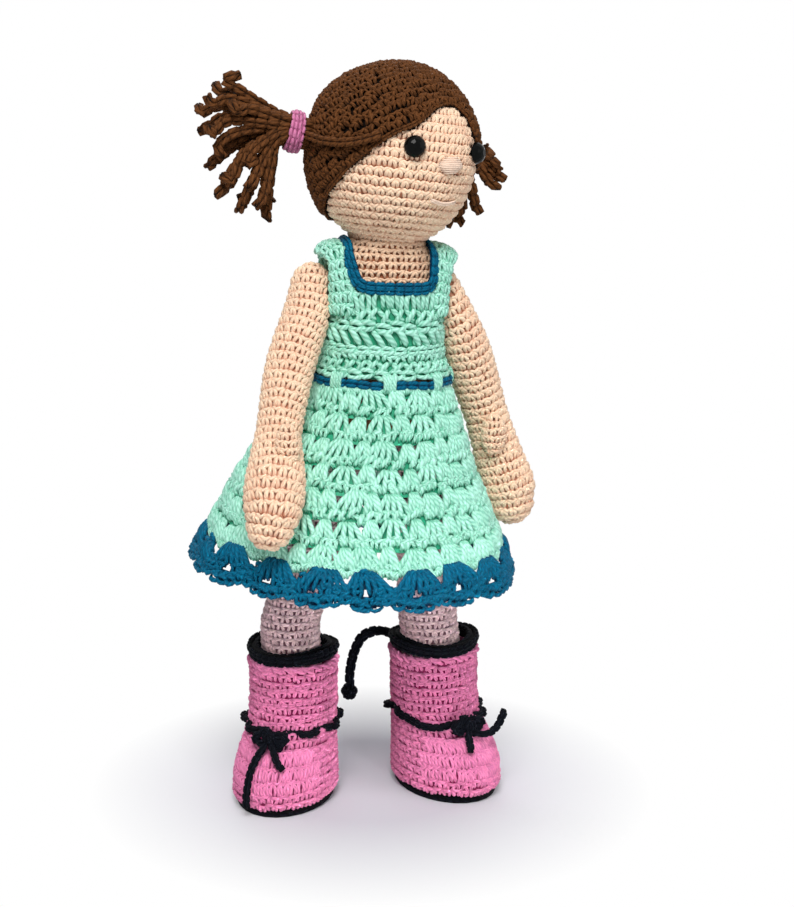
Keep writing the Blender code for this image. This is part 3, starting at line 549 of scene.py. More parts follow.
CROSS = (
    strand(
        (-0.36, -0.15, -0.9, 0.15), (-0.20, 0.18, 0.4, 0.24), (0.08, 0.50, 1.0, 0.26),
        (0.34, 0.84, 0.5, 0.24), (0.44, 1.0, -0.7, 0.14)
    ),
    strand(
        (0.36, -0.15, -0.9, 0.15), (0.22, 0.16, 0.1, 0.23), (-0.02, 0.44, 0.2, 0.24),
        (-0.30, 0.82, 0.4, 0.24), (-0.42, 1.0, -0.7, 0.14)
    ),
)
POST = strand(
    (-0.20, -0.10, -0.9, 0.15), (-0.27, 0.12, 0.2, 0.21), (-0.20, 0.38, 0.75, 0.23),
    (-0.22, 0.62, 0.85, 0.24), (-0.38, 0.82, 0.8, 0.24), (-0.56, 0.92, 0.1, 0.15),
)
TALL = (
    POST, mirrored(POST),
    strand(
        (-0.60, 1.0, -0.2, 0.14), (-0.3, 1.0, 0.5, 0.2), (0.0, 0.88, 0.9, 0.22), (0.3, 1.0, 0.5, 0.2),
        (0.60, 1.0, -0.2, 0.14)
    )
)
SLANTED = (
    strand(
        (-0.70, 1.06, -0.7, 0.17), (-0.48, 0.92, 0.6, 0.27), (-0.16, 0.68, 1.1, 0.31),
        (0.12, 0.42, 1.1, 0.31), (0.38, 0.14, 0.6, 0.27), (0.50, -0.08, -0.7, 0.15)
    ),
    strand(
        (-0.10, 1.02, -0.9, 0.15), (-0.06, 0.70, -0.1, 0.22), (0.02, 0.30, -0.1, 0.22),
        (0.04, -0.04, -0.9, 0.15)
    ),
)
LOOPS = (
    strand(
        (-0.62, 0.62, -0.6, 0.16), (-0.34, 0.86, 0.6, 0.27), (0.04, 0.92, 1.0, 0.30), (0.38, 0.74, 0.7, 0.27),
        (0.62, 0.40, -0.7, 0.16)
    ),
    strand(
        (-0.62, 0.44, -0.4, 0.16), (-0.36, 0.14, 0.8, 0.27), (0.00, 0.04, 1.2, 0.30), (0.36, 0.20, 1.0, 0.28),
        (0.64, 0.52, -0.1, 0.17)
    ),
)


@dataclass
class Laying:
    """Where a batch of stitches goes on a form: each one's place and size, as arrays or one value for all."""

    form: Form
    turn: Array
    height: Union[Array, float]
    wide: Union[Array, float]
    tall: Union[Array, float]
    loft: float
    girth: float

    def __post_init__(self) -> None:
        """Gives each stitch its own height and size."""
        self.height, self.wide, self.tall = (
            np.broadcast_to(v, self.turn.shape).astype(float) for v in (self.height, self.wide, self.tall)
        )


class Needlework:
    """Lays stitches on forms with a steady hand that varies a little."""

    def __init__(self, seed: int) -> None:
        """Starts the small variations from a seed."""
        self.random = np.random.default_rng(seed)

    def rows(
        self, form: Form, start: float, end: float, height: float, width: float, loft: float,
        lean: float = 0.15, keep: Optional[Keep] = None,
    ) -> list[Laying]:
        """Places for stitches in level rows.

        Args:
            form: what they lie on.
            start, end: the rows' range along the form.
            height, width: a stitch's size, fitted to whole numbers.
            loft: how far a strand's line rises and sinks.
            lean: how far each row is shifted, as a share of a stitch.
            keep: which points of the form get a stitch.

        Returns:
            One Laying, or none where nothing is kept.
        """
        count = max(1, round((end - start) / height))
        tall = (end - start) / count
        turns, heights, wides = [], [], []
        for row in range(count):
            level = start + tall * row
            around = max(4, round(form.girth(level + tall / 2) / width))
            turns.append((np.arange(around) + lean * row) / around)
            heights.append(np.full(around, level))
            wides.append(np.full(around, 1 / around))
        turn, level, wide = (np.concatenate(part) for part in (turns, heights, wides))
        if keep is not None:
            kept = keep(form.at(turn, level + tall / 2))
            turn, level, wide = turn[kept], level[kept], wide[kept]
        if not len(turn):
            return []
        return [Laying(form, turn, level, wide, tall, loft, min(width, height))]

    def lay(
        self, mesh: YarnMesh, places: Sequence[Laying], stitch: Sequence[Strand], shake: float = 0.05,
    ) -> None:
        """Adds one stitch at each place.

        Args:
            mesh: where the strands go.
            places: where they lie.
            stitch: the strands of one stitch.
            shake: how far places and girths vary, as a share.
        """
        for spot in places:
            count = len(spot.turn)
            turn = spot.turn + spot.wide * self.random.normal(0, shake, count)
            level = spot.height + spot.tall * self.random.normal(0, shake, count)
            bright = self.random.normal(0.93, 0.05, count)[:, None]
            tilt = self.random.normal(0, shake * 2, count)[:, None]
            for strand in stitch:
                across, up, out, girth = (
                    np.array(part) for part in (strand.across, strand.up, strand.out, strand.girth)
                )
                fat = self.random.normal(1, shake, count)[:, None]
                turns = turn[:, None] + spot.wide[:, None] * (across + tilt * (up - 0.5))
                heights = level[:, None] + spot.tall[:, None] * up
                lift = np.broadcast_to(out * spot.loft, turns.shape)
                paths = spot.form.at(turns, heights, lift)
                ups = spot.form.at(turns, heights, lift + MILLI) - paths
                radii = np.broadcast_to(girth * spot.girth, turns.shape) * fat
                shade = self.random.normal(1, 0.05, count)[:, None]
                # Stitches and strands vary a little at random, and a strand is darker where it dips into the
                # cloth: painted shade
                tones = np.clip(bright * shade * np.interp(out, (-1.0, 0.5), (0.1, 1.0)), 0, 1)
                mesh.sweep(paths, ups, radii, np.broadcast_to(tones, turns.shape))

    def chain(
        self, mesh: YarnMesh, route: Array, up: Array, width: float, pitch: float = 1.0, both: bool = True,
        core: float = 0.30,
    ) -> None:
        """Adds a crocheted chain along a route: a braid of loops over a thin core.

        Args:
            mesh: where the strands go.
            route: the route's points.
            up: the way that the chain's face looks, one vector or one a point.
            width: how wide the chain is.
            pitch: a loop's length, as a share of the width.
            both: also puts loops on the chain's back.
            core: the core's radius, as a share of the width.
        """
        line = Line(route, up)
        count = max(2, round(line.length / (pitch * width)))
        step = line.length / count
        across = np.array((0.04, 0.24, 0.26, 0.05))
        ahead = np.array((-0.35, 0.10, 0.62, 1.12))
        rise = np.array((0.10, 0.24, 0.22, 0.02))
        fat = np.array((0.13, 0.23, 0.23, 0.12))
        starts = np.arange(count) * step
        for face, delay in ((1, 0.0), (-1, 0.5))[: 2 if both else 1]:
            bright = self.random.normal(0.95, 0.05, count)[:, None]
            for hand in (-1, 1):
                places = starts[:, None] + step * (ahead + delay)
                points, sideways, outs = line.at(np.clip(places, -step * 0.2, line.length + step * 0.2))
                aside, above = (across * hand * width)[:, None], (rise * face * width)[:, None]
                paths = points + sideways * aside + outs * above
                radii = (fat * width) * self.random.normal(1, 0.05, count)[:, None]
                # Painted shade: each loop is darker at its ends, where it passes under its neighbours
                tones = np.clip(bright * np.array((0.25, 0.95, 1.0, 0.3)), 0, 1)
                mesh.sweep(paths, outs * face, radii, np.broadcast_to(tones, places.shape))
        inner = np.linspace(0, line.length, max(3, count * 2))
        points, _, outs = line.at(inner)
        # The core between the loops is darker too: painted shade
        mesh.sweep(
            points[None], outs[None], np.full((1, len(inner)), core * width), np.full((1, len(inner)), 0.3)
        )


class Line:
    """A smooth line through space that knows its side and its face at each point."""

    def __init__(self, route: Array, up: Array) -> None:
        """Keeps the route and which way its face looks.

        Args:
            route: its points.
            up: one vector, or one for each point.
        """
        self.route = np.asarray(route, float)
        self.along = np.concatenate(([0.0], np.cumsum(runs(self.route))))
        self.length = float(self.along[-1])
        way = unit(np.gradient(self.route, axis=0))
        self.side = unit(np.cross(way, np.broadcast_to(up, self.route.shape)))
        self.out = np.cross(self.side, way)

    def at(self, places: Array) -> tuple[Array, Array, Array]:
        """Points, side ways and face ways at places along the line, which may pass its ends a little.

        Args:
            places: distances from its start.

        Returns:
            Three arrays with a last axis of 3.
        """
        held = np.clip(places, 0, self.length)
        found = [
            np.stack([np.interp(held, self.along, grid[:, k]) for k in range(3)], axis=-1)
            for grid in (self.route, self.side, self.out)
        ]
        first, last = unit(self.route[1] - self.route[0]), unit(self.route[-1] - self.route[-2])
        before, after = np.minimum(places, 0)[..., None], np.maximum(places - self.length, 0)[..., None]
        return found[0] + first * before + last * after, found[1], found[2]


def smooth_line(points: Sequence[Sequence[float]], count: int) -> Array:
    """Points spread evenly along a smooth curve through the given ones.

    Args:
        points: the given points, of any width.
        count: how many to hand back.

    Returns:
        The new points.
    """
    given = np.array(points, float)
    ends = np.vstack((2 * given[0] - given[1], given, 2 * given[-1] - given[-2]))
    fine = []
    for i in range(1, len(ends) - 2):
        a, b, c, d = ends[i - 1 : i + 3]
        square, cube = 2 * a - 5 * b + 4 * c - d, 3 * b - a - 3 * c + d
        for t in np.linspace(0, 1, 24, endpoint=False):
            fine.append(0.5 * (2 * b + (c - a) * t + square * t**2 + cube * t**3))
    fine = np.array(fine + [given[-1]])
    along = np.concatenate(([0], np.cumsum(runs(fine[:, :3]))))
    even = np.linspace(0, along[-1], count)
    return np.column_stack([np.interp(even, along, fine[:, k]) for k in range(fine.shape[1])])


def placed(points: Array, matrix: Matrix) -> Array:
    """Points moved by a matrix."""
    held = np.array(matrix)
    return points @ held[:3, :3].T + held[:3, 3]


def turned(ways: Union[Array, Sequence[float]], matrix: Matrix) -> Array:
    """Directions turned by a matrix, and not moved."""
    return np.asarray(ways, float) @ np.array(matrix.to_3x3()).T


def upright(heights: Array) -> Array:
    """Points above the origin at heights."""
    return np.column_stack((np.zeros(len(heights)), np.zeros(len(heights)), heights))


def spin(degrees: float, axis: str) -> Matrix:
    """A turn about an axis."""
    return Matrix.Rotation(math.radians(degrees), 4, axis)


def bearing(turn: Array, rise: Array) -> Array:
    """Ways out of the middle at turns from -Y and rises, in radians."""
    flat = np.cos(rise)
    return np.stack(np.broadcast_arrays(np.sin(turn) * flat, -np.cos(turn) * flat, np.sin(rise)), axis=-1)


def alone(target: Thing) -> None:
    """Selects one object and nothing else."""
    if bpy.context.mode != "OBJECT":
        bpy.ops.object.mode_set(mode="OBJECT")
    bpy.ops.object.select_all(action="DESELECT")
    target.select_set(True)
    bpy.context.view_layer.objects.active = target


def core_of(node: str, inset: float) -> Thing:
    """A copy of a solid drawn in from its own surface, which shows between the stitches near its yarn's deep
    colour, as painted shade.

    Args:
        node: the solid's name.
        inset: how far in.

    Returns:
        The new object.
    """
    source = frame["nodes"][node]
    made = bpy.data.objects.new(f"{node}_core", source.data.copy())
    made.data.materials.clear()
    bpy.context.scene.collection.objects.link(made)
    alone(made)
    bpy.ops.object.mode_set(mode="EDIT")
    bpy.ops.mesh.select_all(action="SELECT")
    bpy.ops.mesh.remove_doubles(threshold=1e-5)
    bpy.ops.mesh.tris_convert_to_quads()
    bpy.ops.transform.shrink_fatten(value=-inset)
    bpy.ops.object.mode_set(mode="OBJECT")
    for layer in list(made.data.uv_layers):
        made.data.uv_layers.remove(layer)
    made.data.uv_layers.new(name="yarn")
    for name in [a.name for a in made.data.attributes if a.name == "sharp_edge"]:
        made.data.attributes.remove(made.data.attributes[name])
    bpy.ops.object.shade_smooth()
    return made


def closed(turn: Array, up: Array, points: Array) -> Array:
    """Says of every face that it isn't open."""
    return np.zeros(len(up), bool)


def cloth_on(
    name: str, form: Form, yarn: Yarn, wide: int, tall: int, is_open: Callable[[Array, Array, Array], Array],
    off: float = -0.0006, tone: float = 0.30,
) -> Thing:
    """A cloth laid over a form, without the faces where it is open.

    Args:
        name: the piece's name.
        form: what it follows.
        yarn: its finish.
        wide, tall: faces round and up.
        is_open: says which faces are open, from how far round, how far up and where they are.
        off: how far off the form it lies.
        tone: how far it is from its yarn's deep colour, which is painted shade, to the bright one.

    Returns:
        The cloth.
    """
    bpy.ops.object.select_all(action="DESELECT")
    bpy.ops.mesh.primitive_grid_add(x_subdivisions=wide, y_subdivisions=tall, size=2)
    made = bpy.context.active_object
    mesh = made.data
    spots, middles = (
        np.array(points)[:, :2] * 0.5 + 0.5
        for points in ([v.co for v in mesh.vertices], [f.center for f in mesh.polygons])
    )
    middle_points = form.at(middles[:, 0], middles[:, 1] * form.top, off)
    open_faces = is_open(middles[:, 0], middles[:, 1], middle_points)
    mesh.vertices.foreach_set("co", form.at(spots[:, 0], spots[:, 1] * form.top, off).reshape(-1))
    for group in (mesh.vertices, mesh.edges):
        group.foreach_set("select", np.zeros(len(group), bool))
    mesh.polygons.foreach_set("select", open_faces)
    bpy.context.tool_settings.mesh_select_mode = (False, False, True)
    bpy.ops.object.mode_set(mode="EDIT")
    bpy.ops.mesh.delete(type="FACE")
    bpy.ops.mesh.select_all(action="SELECT")
    bpy.ops.mesh.remove_doubles(threshold=1e-5)
    bpy.ops.object.mode_set(mode="OBJECT")
    bpy.ops.object.shade_smooth()
    while mesh.uv_layers:
        mesh.uv_layers.remove(mesh.uv_layers[0])
    mesh.uv_layers.new(name="yarn").data.foreach_set("uv", np.zeros(len(mesh.loops) * 2, np.float32))
    made_tone = mesh.attributes.new("tone", "FLOAT", "POINT")
    made_tone.data.foreach_set("value", np.full(len(mesh.vertices), tone, np.float32))
    mesh.materials.append(yarn.material())
    made.name = mesh.name = name
    return made


def core_on(name: str, form: Form, yarn: Yarn) -> Thing:
    """A closed core a little inside a form, which shows between the stitches darkened as painted shade."""
    made = cloth_on(name, form, yarn, 64, 48, closed, CORE_DEPTH, CORE_SHADE_TONE)
    alone(made)
    bpy.ops.object.mode_set(mode="EDIT")
    bpy.ops.mesh.select_all(action="SELECT")
    bpy.ops.mesh.fill_holes(sides=0)
    bpy.ops.mesh.normals_make_consistent(inside=False)
    bpy.ops.object.mode_set(mode="OBJECT")
    return made


def thicken(cloth: Thing, thickness: float) -> None:
    """Gives a cloth a thickness inwards, as a closed shell."""
    alone(cloth)
    shell = cloth.modifiers.new("thickness", "SOLIDIFY")
    shell.thickness, shell.offset = thickness, -1.0
    bpy.ops.object.modifier_apply(modifier=shell.name)


def joined(name: str, yarn: Yarn, parts: Sequence[Thing]) -> Thing:
    """Joins objects of one yarn into one piece.

    Args:
        name: the piece's name.
        yarn: its finish.
        parts: the objects.

    Returns:
        The piece.
    """
    alone(parts[0])
    for part in parts:
        if not part.data.materials:
            part.data.materials.append(yarn.material())
        part.select_set(True)
    if len(parts) > 1:
        bpy.ops.object.join()
    made = bpy.context.view_layer.objects.active
    made.name = name
    made.data.name = name
    return made


def settle(piece: Thing, body: str, yarn: Yarn, *nodes: str) -> Thing:
    """Puts a finished piece on its body in place of its solids, and reports it.

    Args:
        piece: the piece.
        body: the body it rides on.
        yarn: not used.
        nodes: the solids that it replaces.

    Returns:
        The piece.
    """
    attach(piece, body)
    if nodes:
        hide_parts(*nodes)
    LOG.info("%s: %d faces, on %s", piece.name, len(piece.data.polygons), body)
    return piece


def crocheted(node: str, body: str, yarn: Yarn, core: Thing, mesh: YarnMesh) -> Thing:
    """Joins a core and the rows over it into the piece that stands for one solid.

    Args:
        node: the solid's name.
        body: the body it rides on.
        yarn: its finish.
        core: what shows between the stitches.
        mesh: the stitches.

    Returns:
        The settled piece.
    """
    piece = joined(f"{node}_crochet", yarn, [core, mesh.build(f"{node}_rows", yarn)])
    return settle(piece, body, yarn, node)


def ovals(centres: Array, half_x: Array, half_y: Array, count: int = 96, start: float = 0.0) -> Array:
    """Level oval rings.

    Args:
        centres: each ring's centre.
        half_x, half_y: their half widths.
        count: points round.
        start: the angle of the first point from +X.

    Returns:
        Rings by points by 3.
    """
    angle = start + spokes(count)
    across, ahead = np.outer(half_x, np.cos(angle)), np.outer(half_y, np.sin(angle))
    return np.stack((across, ahead, np.zeros_like(across)), axis=-1) + np.asarray(centres)[:, None]


# The doll's own frames


@dataclass(frozen=True)
class Stance:
    """Where the doll's parts stand, as in the frame."""

    hip_place: Place = (0.0066, -0.002, 0.178)
    body_lean: float = 2.5
    neck_height: float = 0.087
    head_lean: float = 4.0
    head_rise: float = 0.0315
    head_turn: float = 25.4
    shoulder_reach: float = 0.0365
    shoulder_height: float = 0.060
    boot_reach: float = 0.034
    boot_turns: tuple[float, float] = (-30.0, 18.0)

    def root(self) -> Matrix:
        """The whole doll's shift over the floor, from where the neck's joint is."""
        bare = Matrix.Translation(self.hip_place) @ spin(self.body_lean, "Y")
        here = bare @ Vector((0, 0, self.neck_height))
        joint = next(j for j in frame["joints"] if j["name"] == "head_turn")
        return Matrix.Translation(Vector(joint["pos_m"]) - here)

    def upper(self) -> Matrix:
        """The body above the hips."""
        return self.root() @ Matrix.Translation(self.hip_place) @ spin(self.body_lean, "Y")

    def head(self) -> Matrix:
        """The head, with its face towards its own -Y."""
        neck = self.upper() @ Matrix.Translation((0, 0, self.neck_height)) @ spin(self.head_lean, "Y")
        return neck @ Matrix.Translation((0, 0, self.head_rise)) @ spin(self.head_turn, "Z")

    def shoulder(self, side: Side) -> Matrix:
        """A shoulder, its axes those of the upper body."""
        return self.upper() @ Matrix.Translation((side.value * self.shoulder_reach, 0, self.shoulder_height))

    def boot(self, side: Side) -> Matrix:
        """A boot, with its toe towards its own -Y."""
        turn = self.boot_turns[0 if side is Side.RIGHT else 1]
        place = Matrix.Translation((side.value * self.boot_reach, 0, 0))
        return self.root() @ place @ spin(turn, "Z")


STANCE = Stance()


@dataclass
class Head:
    """The head, its hair and its face."""

    half_width: float = 0.0385
    half_height: float = 0.0405
    stitch: float = 0.0043
    row: float = 0.0043
    loft: float = 0.0009
    sink: float = 0.0013
    hair_lift: float = 0.003
    # How far the hair's rows lean back and aside, in degrees
    hair_lean: tuple[float, float] = (-34, -12)
    hairline_turn: tuple[float, ...] = (
        -180, -127, -103, -78, -67, -52, -41, -27, -12, 0, 10, 23, 31, 45, 60, 80, 103, 127, 180
    )
    hairline_rise: tuple[float, ...] = (
        -50, -48, -36, -18, -7, 6, 14, 21, 34, 38, 38, 30, 14, 2, -6, -19, -36, -48, -50
    )
    eye_turn: float = 26.8
    eye_rise: float = 8.3
    eye_radius: float = 0.0042
    bunch_turn: float = 115.0
    bunch_rise: float = 7.5
    # Where each cord of a bunch ends: out, up and aside, then its hook out and up, in millimetres
    bunch_ends: ClassVar[dict[Side, Table]] = {
        Side.RIGHT: (
            (41, 14, 2, -5, 4), (40, 9, -7, 3, 3), (47, -2, 1, 2, 3), (44, 3, 8, 3, 2), (42, -7, -8, 3, -2),
            (38, -14, 5, -3, -4), (42, -10, 11, 2, 3), (36, -20, -3, 3, -3), (32, -17, -12, 3, -1),
            (25, -19, 12, -5, 3),
            (31, -32, 1, 2, -3), (29, -27, 9, 4, 1), (27, -29, -9, 3, -4), (21, -36, 3, 0, -3),
            (18, -31, -7, 3, -3),
            (10, -36, 0, -1, -4), (14, -31, 9, 2, -4), (10, -29, -7, -2, -3), (34, 2, 12, 3, 4),
            (24, -10, -14, 4, -2),
            (20, -24, 13, 2, -4),
        ),
        Side.LEFT: (
            (22, -11, -21, 1, -3), (20, -8, -24, 2, -2), (24, -13, -16, 2, -3), (18, -15, -21, 2, -3),
            (22, -4, -20, 2, 2),
            (20, -14, -8, 2, -4), (18, -20, 0, 2, -3), (12, -34, -4, -1, -3), (10, -30, 4, 1, -4),
            (14, -27, -10, 2, -4),
            (10, -25, 10, 0, -4), (16, -10, 6, 3, -3), (12, -20, 12, 2, -4), (20, -9, -2, 3, -3),
            (11, -33, -9, 1, -2),
            (25, -8, -12, 2, -2), (16, -26, -15, 1, -4),
        ),
    }
    tie_start: float = 0.0022
    tie_width: float = 0.0064
    tie_room: float = 0.0046
    tie_radius: float = 0.0079
    tie_cord: float = 0.0034
    hair_cord: float = 0.0049
    lock_cord: float = 0.0041
    lock_turn: tuple[float, ...] = (49, 60, 72, 86, 98, 106)
    lock_rise: tuple[float, ...] = (11.8, 7.5, 5.2, 5.0, 6.2, 7.0)
    bulge: float = 0.0034
    nose_middle: tuple[float, float] = (0.8, -0.6)
    nose_half: tuple[float, float] = (0.0071, 0.0036)
    nose_threads: int = 9
    mouth_turn: tuple[float, float] = (-10, 14.5)
    mouth_rise: float = -23.5
    mouth_radius: float = 0.00052

    def __post_init__(self) -> None:
        """Finds the head's frame."""
        self.frame = STANCE.head()
        self.inverse = self.frame.inverted()

    def point(self, turn: Union[float, Array], rise: Union[float, Array], extra: float = 0.0) -> Array:
        """Points off the head's surface at turns and rises in degrees, in its own frame."""
        wide = self.half_width + extra + self.swell(np.asarray(turn, float), np.asarray(rise, float))
        sizes = np.stack(np.broadcast_arrays(wide, wide, self.half_height + extra), axis=-1)
        return bearing(np.radians(turn), np.radians(rise)) * sizes

    def swell(self, turn: Array, rise: Array) -> Array:
        """How far the stuffing bulges out: less by the left eye, more at the back on the right."""
        left = np.exp(-(((turn + 180) % 360 - 180 - 64) / 27) ** 2)
        back = sum(np.exp(-(((turn + lap - 235) / 42) ** 2) - ((rise - 44) / 26) ** 2) for lap in (360, 0))
        return self.bulge * (back - left)

    def out(self, turn: float, rise: float) -> Array:
        """The way out of the head there."""
        return unit(bearing(np.radians(turn), np.radians(rise)) * (1, 1, self.half_width / self.half_height))

    def form(self, extra: float, crown: Optional[Matrix] = None) -> Form:
        """The head's surface, or one off it, as rings round its own crown or one that leans."""
        turns, rises = spokes(96), np.radians(np.linspace(-89, 89, 80))
        ways = turned(bearing(turns, rises[:, None]), crown or Matrix.Identity(4))
        own_turn = np.degrees(np.arctan2(ways[..., 0], -ways[..., 1]))
        own_rise = np.degrees(np.arcsin(np.clip(ways[..., 2], -1, 1)))
        return Form(placed(self.point(own_turn, own_rise, extra), self.frame))

    def angles(self, points: Array) -> tuple[Array, Array]:
        """The turn and rise in degrees of points in the world."""
        own = placed(points, self.inverse)
        turn = np.degrees(np.arctan2(own[..., 0], -own[..., 1]))
        flat = np.hypot(own[..., 0], own[..., 1]) / self.half_width
        return turn, np.degrees(np.arctan2(own[..., 2] / self.half_height, flat))

    def hairline(self, turn: Array) -> Array:
        """How high the hair's edge is at a turn."""
        return np.interp(turn, self.hairline_turn, self.hairline_rise)

    def build(self, work: Needlework) -> None:
        """Makes everything on the head."""
        self.skin(work)
        self.hair(work)
        self.face()
        for side in Side:
            self.bunch(work, side)
            self.lock(work, side)

    def skin(self, work: Needlework) -> None:
        """The face's rows of single crochet, and those that the hair hides left out."""
        form, mesh = self.form(-self.sink), YarnMesh()
        eyes = [self.point(side.value * self.eye_turn, self.eye_rise) for side in Side]

        def bare(points: Array) -> Array:
            turn, rise = self.angles(points)
            own = placed(points, self.inverse)
            clear = rise < self.hairline(turn) + 4
            for eye in eyes:
                clear &= np.linalg.norm(own - eye, axis=-1) > self.eye_radius
            return clear

        places = work.rows(form, 0.004, form.top, self.row, self.stitch, self.loft, 0.12, bare)
        work.lay(mesh, places, SINGLE)
        core = core_on("head_core", form, SKIN)
        crocheted("head", "head", SKIN, core, mesh)

    def hair(self, work: Needlework) -> None:
        """The crocheted cap of hair with an edge that follows the hairline."""
        crown = spin(self.hair_lean[0], "X") @ spin(self.hair_lean[1], "Y")
        form, mesh = self.form(self.hair_lift - self.sink - 0.0003, crown), YarnMesh()

        def covered(points: Array) -> Array:
            turn, rise = self.angles(points)
            return rise > self.hairline(turn) + 1.5

        places = work.rows(
            form, 0.0, form.top, self.row * 0.84, self.stitch * 0.90, self.loft * 1.2, 0.35, covered
        )
        work.lay(mesh, places, SINGLE, 0.16)
        turns = np.linspace(-180, 180, 150, endpoint=False)
        edge = self.point(turns, self.hairline(turns) + 1.2, self.hair_lift - 0.0023)
        outs = np.array([self.out(t, r) for t, r in zip(turns, self.hairline(turns))])
        work.chain(mesh, placed(edge, self.frame), turned(outs, self.frame), 0.0027, 0.9, both=False)

        def open_face(turn: Array, up: Array, points: Array) -> Array:
            own_turn, rise = self.angles(points)
            return rise < self.hairline(own_turn) - 0.5

        smooth = self.form(self.hair_lift - self.sink - 0.0003)
        # The cloth under the hair's stitches is near the hair's deep colour: painted shade between them
        cloth = cloth_on("hair_core", smooth, HAIR, 120, 100, open_face, -0.0010, 0.05)
        thicken(cloth, 0.0012)
        crocheted("hair_cap", "head", HAIR, cloth, mesh)

    def face(self) -> None:
        """Eyes, nose and mouth."""
        for side in Side:
            for node, finish in ((f"eye_{side.word}", EYE), (f"eye_washer_{side.word}", WASHER)):
                shown = frame["nodes"][node]
                shown.data.materials.clear()
                shown.data.materials.append(finish.material())
        mesh = YarnMesh()
        self.satin(mesh, self.nose_middle, *self.nose_half, self.nose_threads)
        settle(mesh.build("nose_satin", THREAD), "head", THREAD, "nose_stitches")
        mesh = YarnMesh()
        for lift, sag, inset in ((0.0, 2.2, 0.0), (1.0, 2.0, 0.6)):
            turns = np.linspace(self.mouth_turn[0] + inset, self.mouth_turn[1] - inset, 14)
            rises = self.mouth_rise + lift - sag * np.sin(np.linspace(0, math.pi, 14))
            route = placed(self.point(turns, rises, 0.0007), self.frame)[None]
            ups = np.broadcast_to(
                placed(self.point(2, -24), self.frame) - np.array(self.frame.translation), route.shape
            )
            radii = self.mouth_radius * np.interp(np.linspace(0, 1, 14), (0, 0.08, 0.92, 1), (0.5, 1, 1, 0.5))
            mesh.sweep(route, ups, radii[None], np.full((1, 14), 0.95))
        settle(mesh.build("mouth_line", THREAD), "head", THREAD, "mouth_stitch")

    def satin(
        self, mesh: YarnMesh, middle: tuple[float, float], wide: float, high: float, count: int,
    ) -> None:
        """Long level threads side by side that fill an oval.

        Args:
            mesh: where they go.
            middle: the oval's turn and rise.
            wide, high: its half sizes.
            count: how many threads.
        """
        centre, away = self.point(*middle), self.out(*middle)
        side = unit(np.cross((0, 0, 1), away))
        up = np.cross(away, side)
        for i in range(count):
            level = (i + 0.5) / count * 2 - 1
            reach = wide * (1 - 0.62 * abs(level) ** 1.7)
            steps = np.linspace(-1, 1, 9)
            crown = 0.0026 * (1 - 0.5 * level**2) * np.sqrt(np.clip(1 - steps**2 * 0.97, 0, 1))
            flat = centre + side * steps[:, None] * reach + up * (level * high + 0.0004 * steps[:, None])
            sizes = np.array((self.half_width, self.half_width, self.half_height))
            own = flat / np.linalg.norm(flat / sizes, axis=1, keepdims=True)
            route = placed(own + away * (crown[:, None] - 0.0004), self.frame)[None]
            radii = np.full((1, 9), high / count * 1.15)
            radii[:, [0, -1]] *= 0.6
            ups = np.broadcast_to(turned(away, self.frame), route.shape)
            mesh.sweep(route, ups, radii, np.full((1, 9), 0.9 + 0.1 * (i % 2)))

    def bunch_frame(self, side: Side) -> Matrix:
        """The bunch's place: Z out of the head and Y up."""
        turn, rise = side.value * self.bunch_turn, self.bunch_rise
        away = Vector(self.out(turn, rise))
        across = Vector((0, 0, 1)).cross(away).normalized()
        axes = Matrix((across, away.cross(across), away)).transposed().to_4x4()
        return self.frame @ Matrix.Translation(self.point(turn, rise, self.hair_lift + 0.0003)) @ axes

    def bunch(self, work: Needlework, side: Side) -> None:
        """The tie, and chain cords that leave it, fan out and hang over."""
        here, mesh = self.bunch_frame(side), YarnMesh()
        random = np.random.default_rng(SEED + side.value)
        middle = np.mean([(aside, up) for _, up, aside, _, _ in self.bunch_ends[side]], axis=0)
        for out, up, aside, hook_out, hook_up in self.bunch_ends[side]:
            end = np.array((aside, up, out)) * MILLI
            reach = float(np.linalg.norm(end))
            start = (np.array((aside, up)) - middle) * (0.36, 0.21) * MILLI
            start *= min(1.0, self.tie_room / float(np.linalg.norm(start)))
            root = np.array((*start, random.normal(-0.0012, 0.0003)))
            knee = np.array(
                (*(start * 1.1 + np.array((0.16 * aside, 0.05 * up)) * MILLI), 0.26 * reach + 0.003)
            )
            elbow = end * 0.72 + np.array((0, 0.10 * reach, 0.10 * reach)) + random.normal(0, 0.0010, 3)
            hook = np.array((random.normal(0, 2), hook_up, hook_out)) * MILLI
            route = smooth_line((root, knee, elbow, end, end + hook), 30)
            face = np.array((1.0, 0.2, 0.1)) + random.normal(0, 0.4, 3)
            work.chain(mesh, placed(route, here), turned(face, here), self.hair_cord, 1.1)
        settle(mesh.build(f"bunch_{side.word}_cords", HAIR), "head", HAIR, f"bunch_{side.word}")
        mesh = YarnMesh()
        for turn in range(3):
            angle = circle(30) + turn
            radius = self.tie_radius + 0.0004 * math.sin(turn * 2)
            depth = self.tie_start + self.tie_width * (0.22 + 0.27 * turn)
            outs = np.column_stack((np.cos(angle), np.sin(angle), np.zeros(30)))
            ring = radius * outs + upright(depth + 0.0004 * np.sin(angle + turn))
            work.chain(
                mesh, placed(ring, here), turned(outs, here), self.tie_cord, 1.0, both=False, core=0.42
            )
        settle(mesh.build(f"hair_tie_{side.word}_coils", TIE), "head", TIE, f"hair_tie_{side.word}")

    def lock(self, work: Needlework, side: Side) -> None:
        """The cord that lies on the hair from the parting to the tie."""
        angles = smooth_line(list(zip(self.lock_turn, self.lock_rise, (0,) * len(self.lock_turn))), 24)
        route = np.array([self.point(side.value * t, r, self.hair_lift + 0.0016) for t, r, _ in angles])
        outs = np.array([self.out(side.value * t, r) for t, r, _ in angles])
        mesh = YarnMesh()
        work.chain(mesh, placed(route, self.frame), turned(outs, self.frame), self.lock_cord, 0.95)
        settle(mesh.build(f"hair_lock_{side.word}_chain", HAIR), "head", HAIR, f"hair_lock_{side.word}")


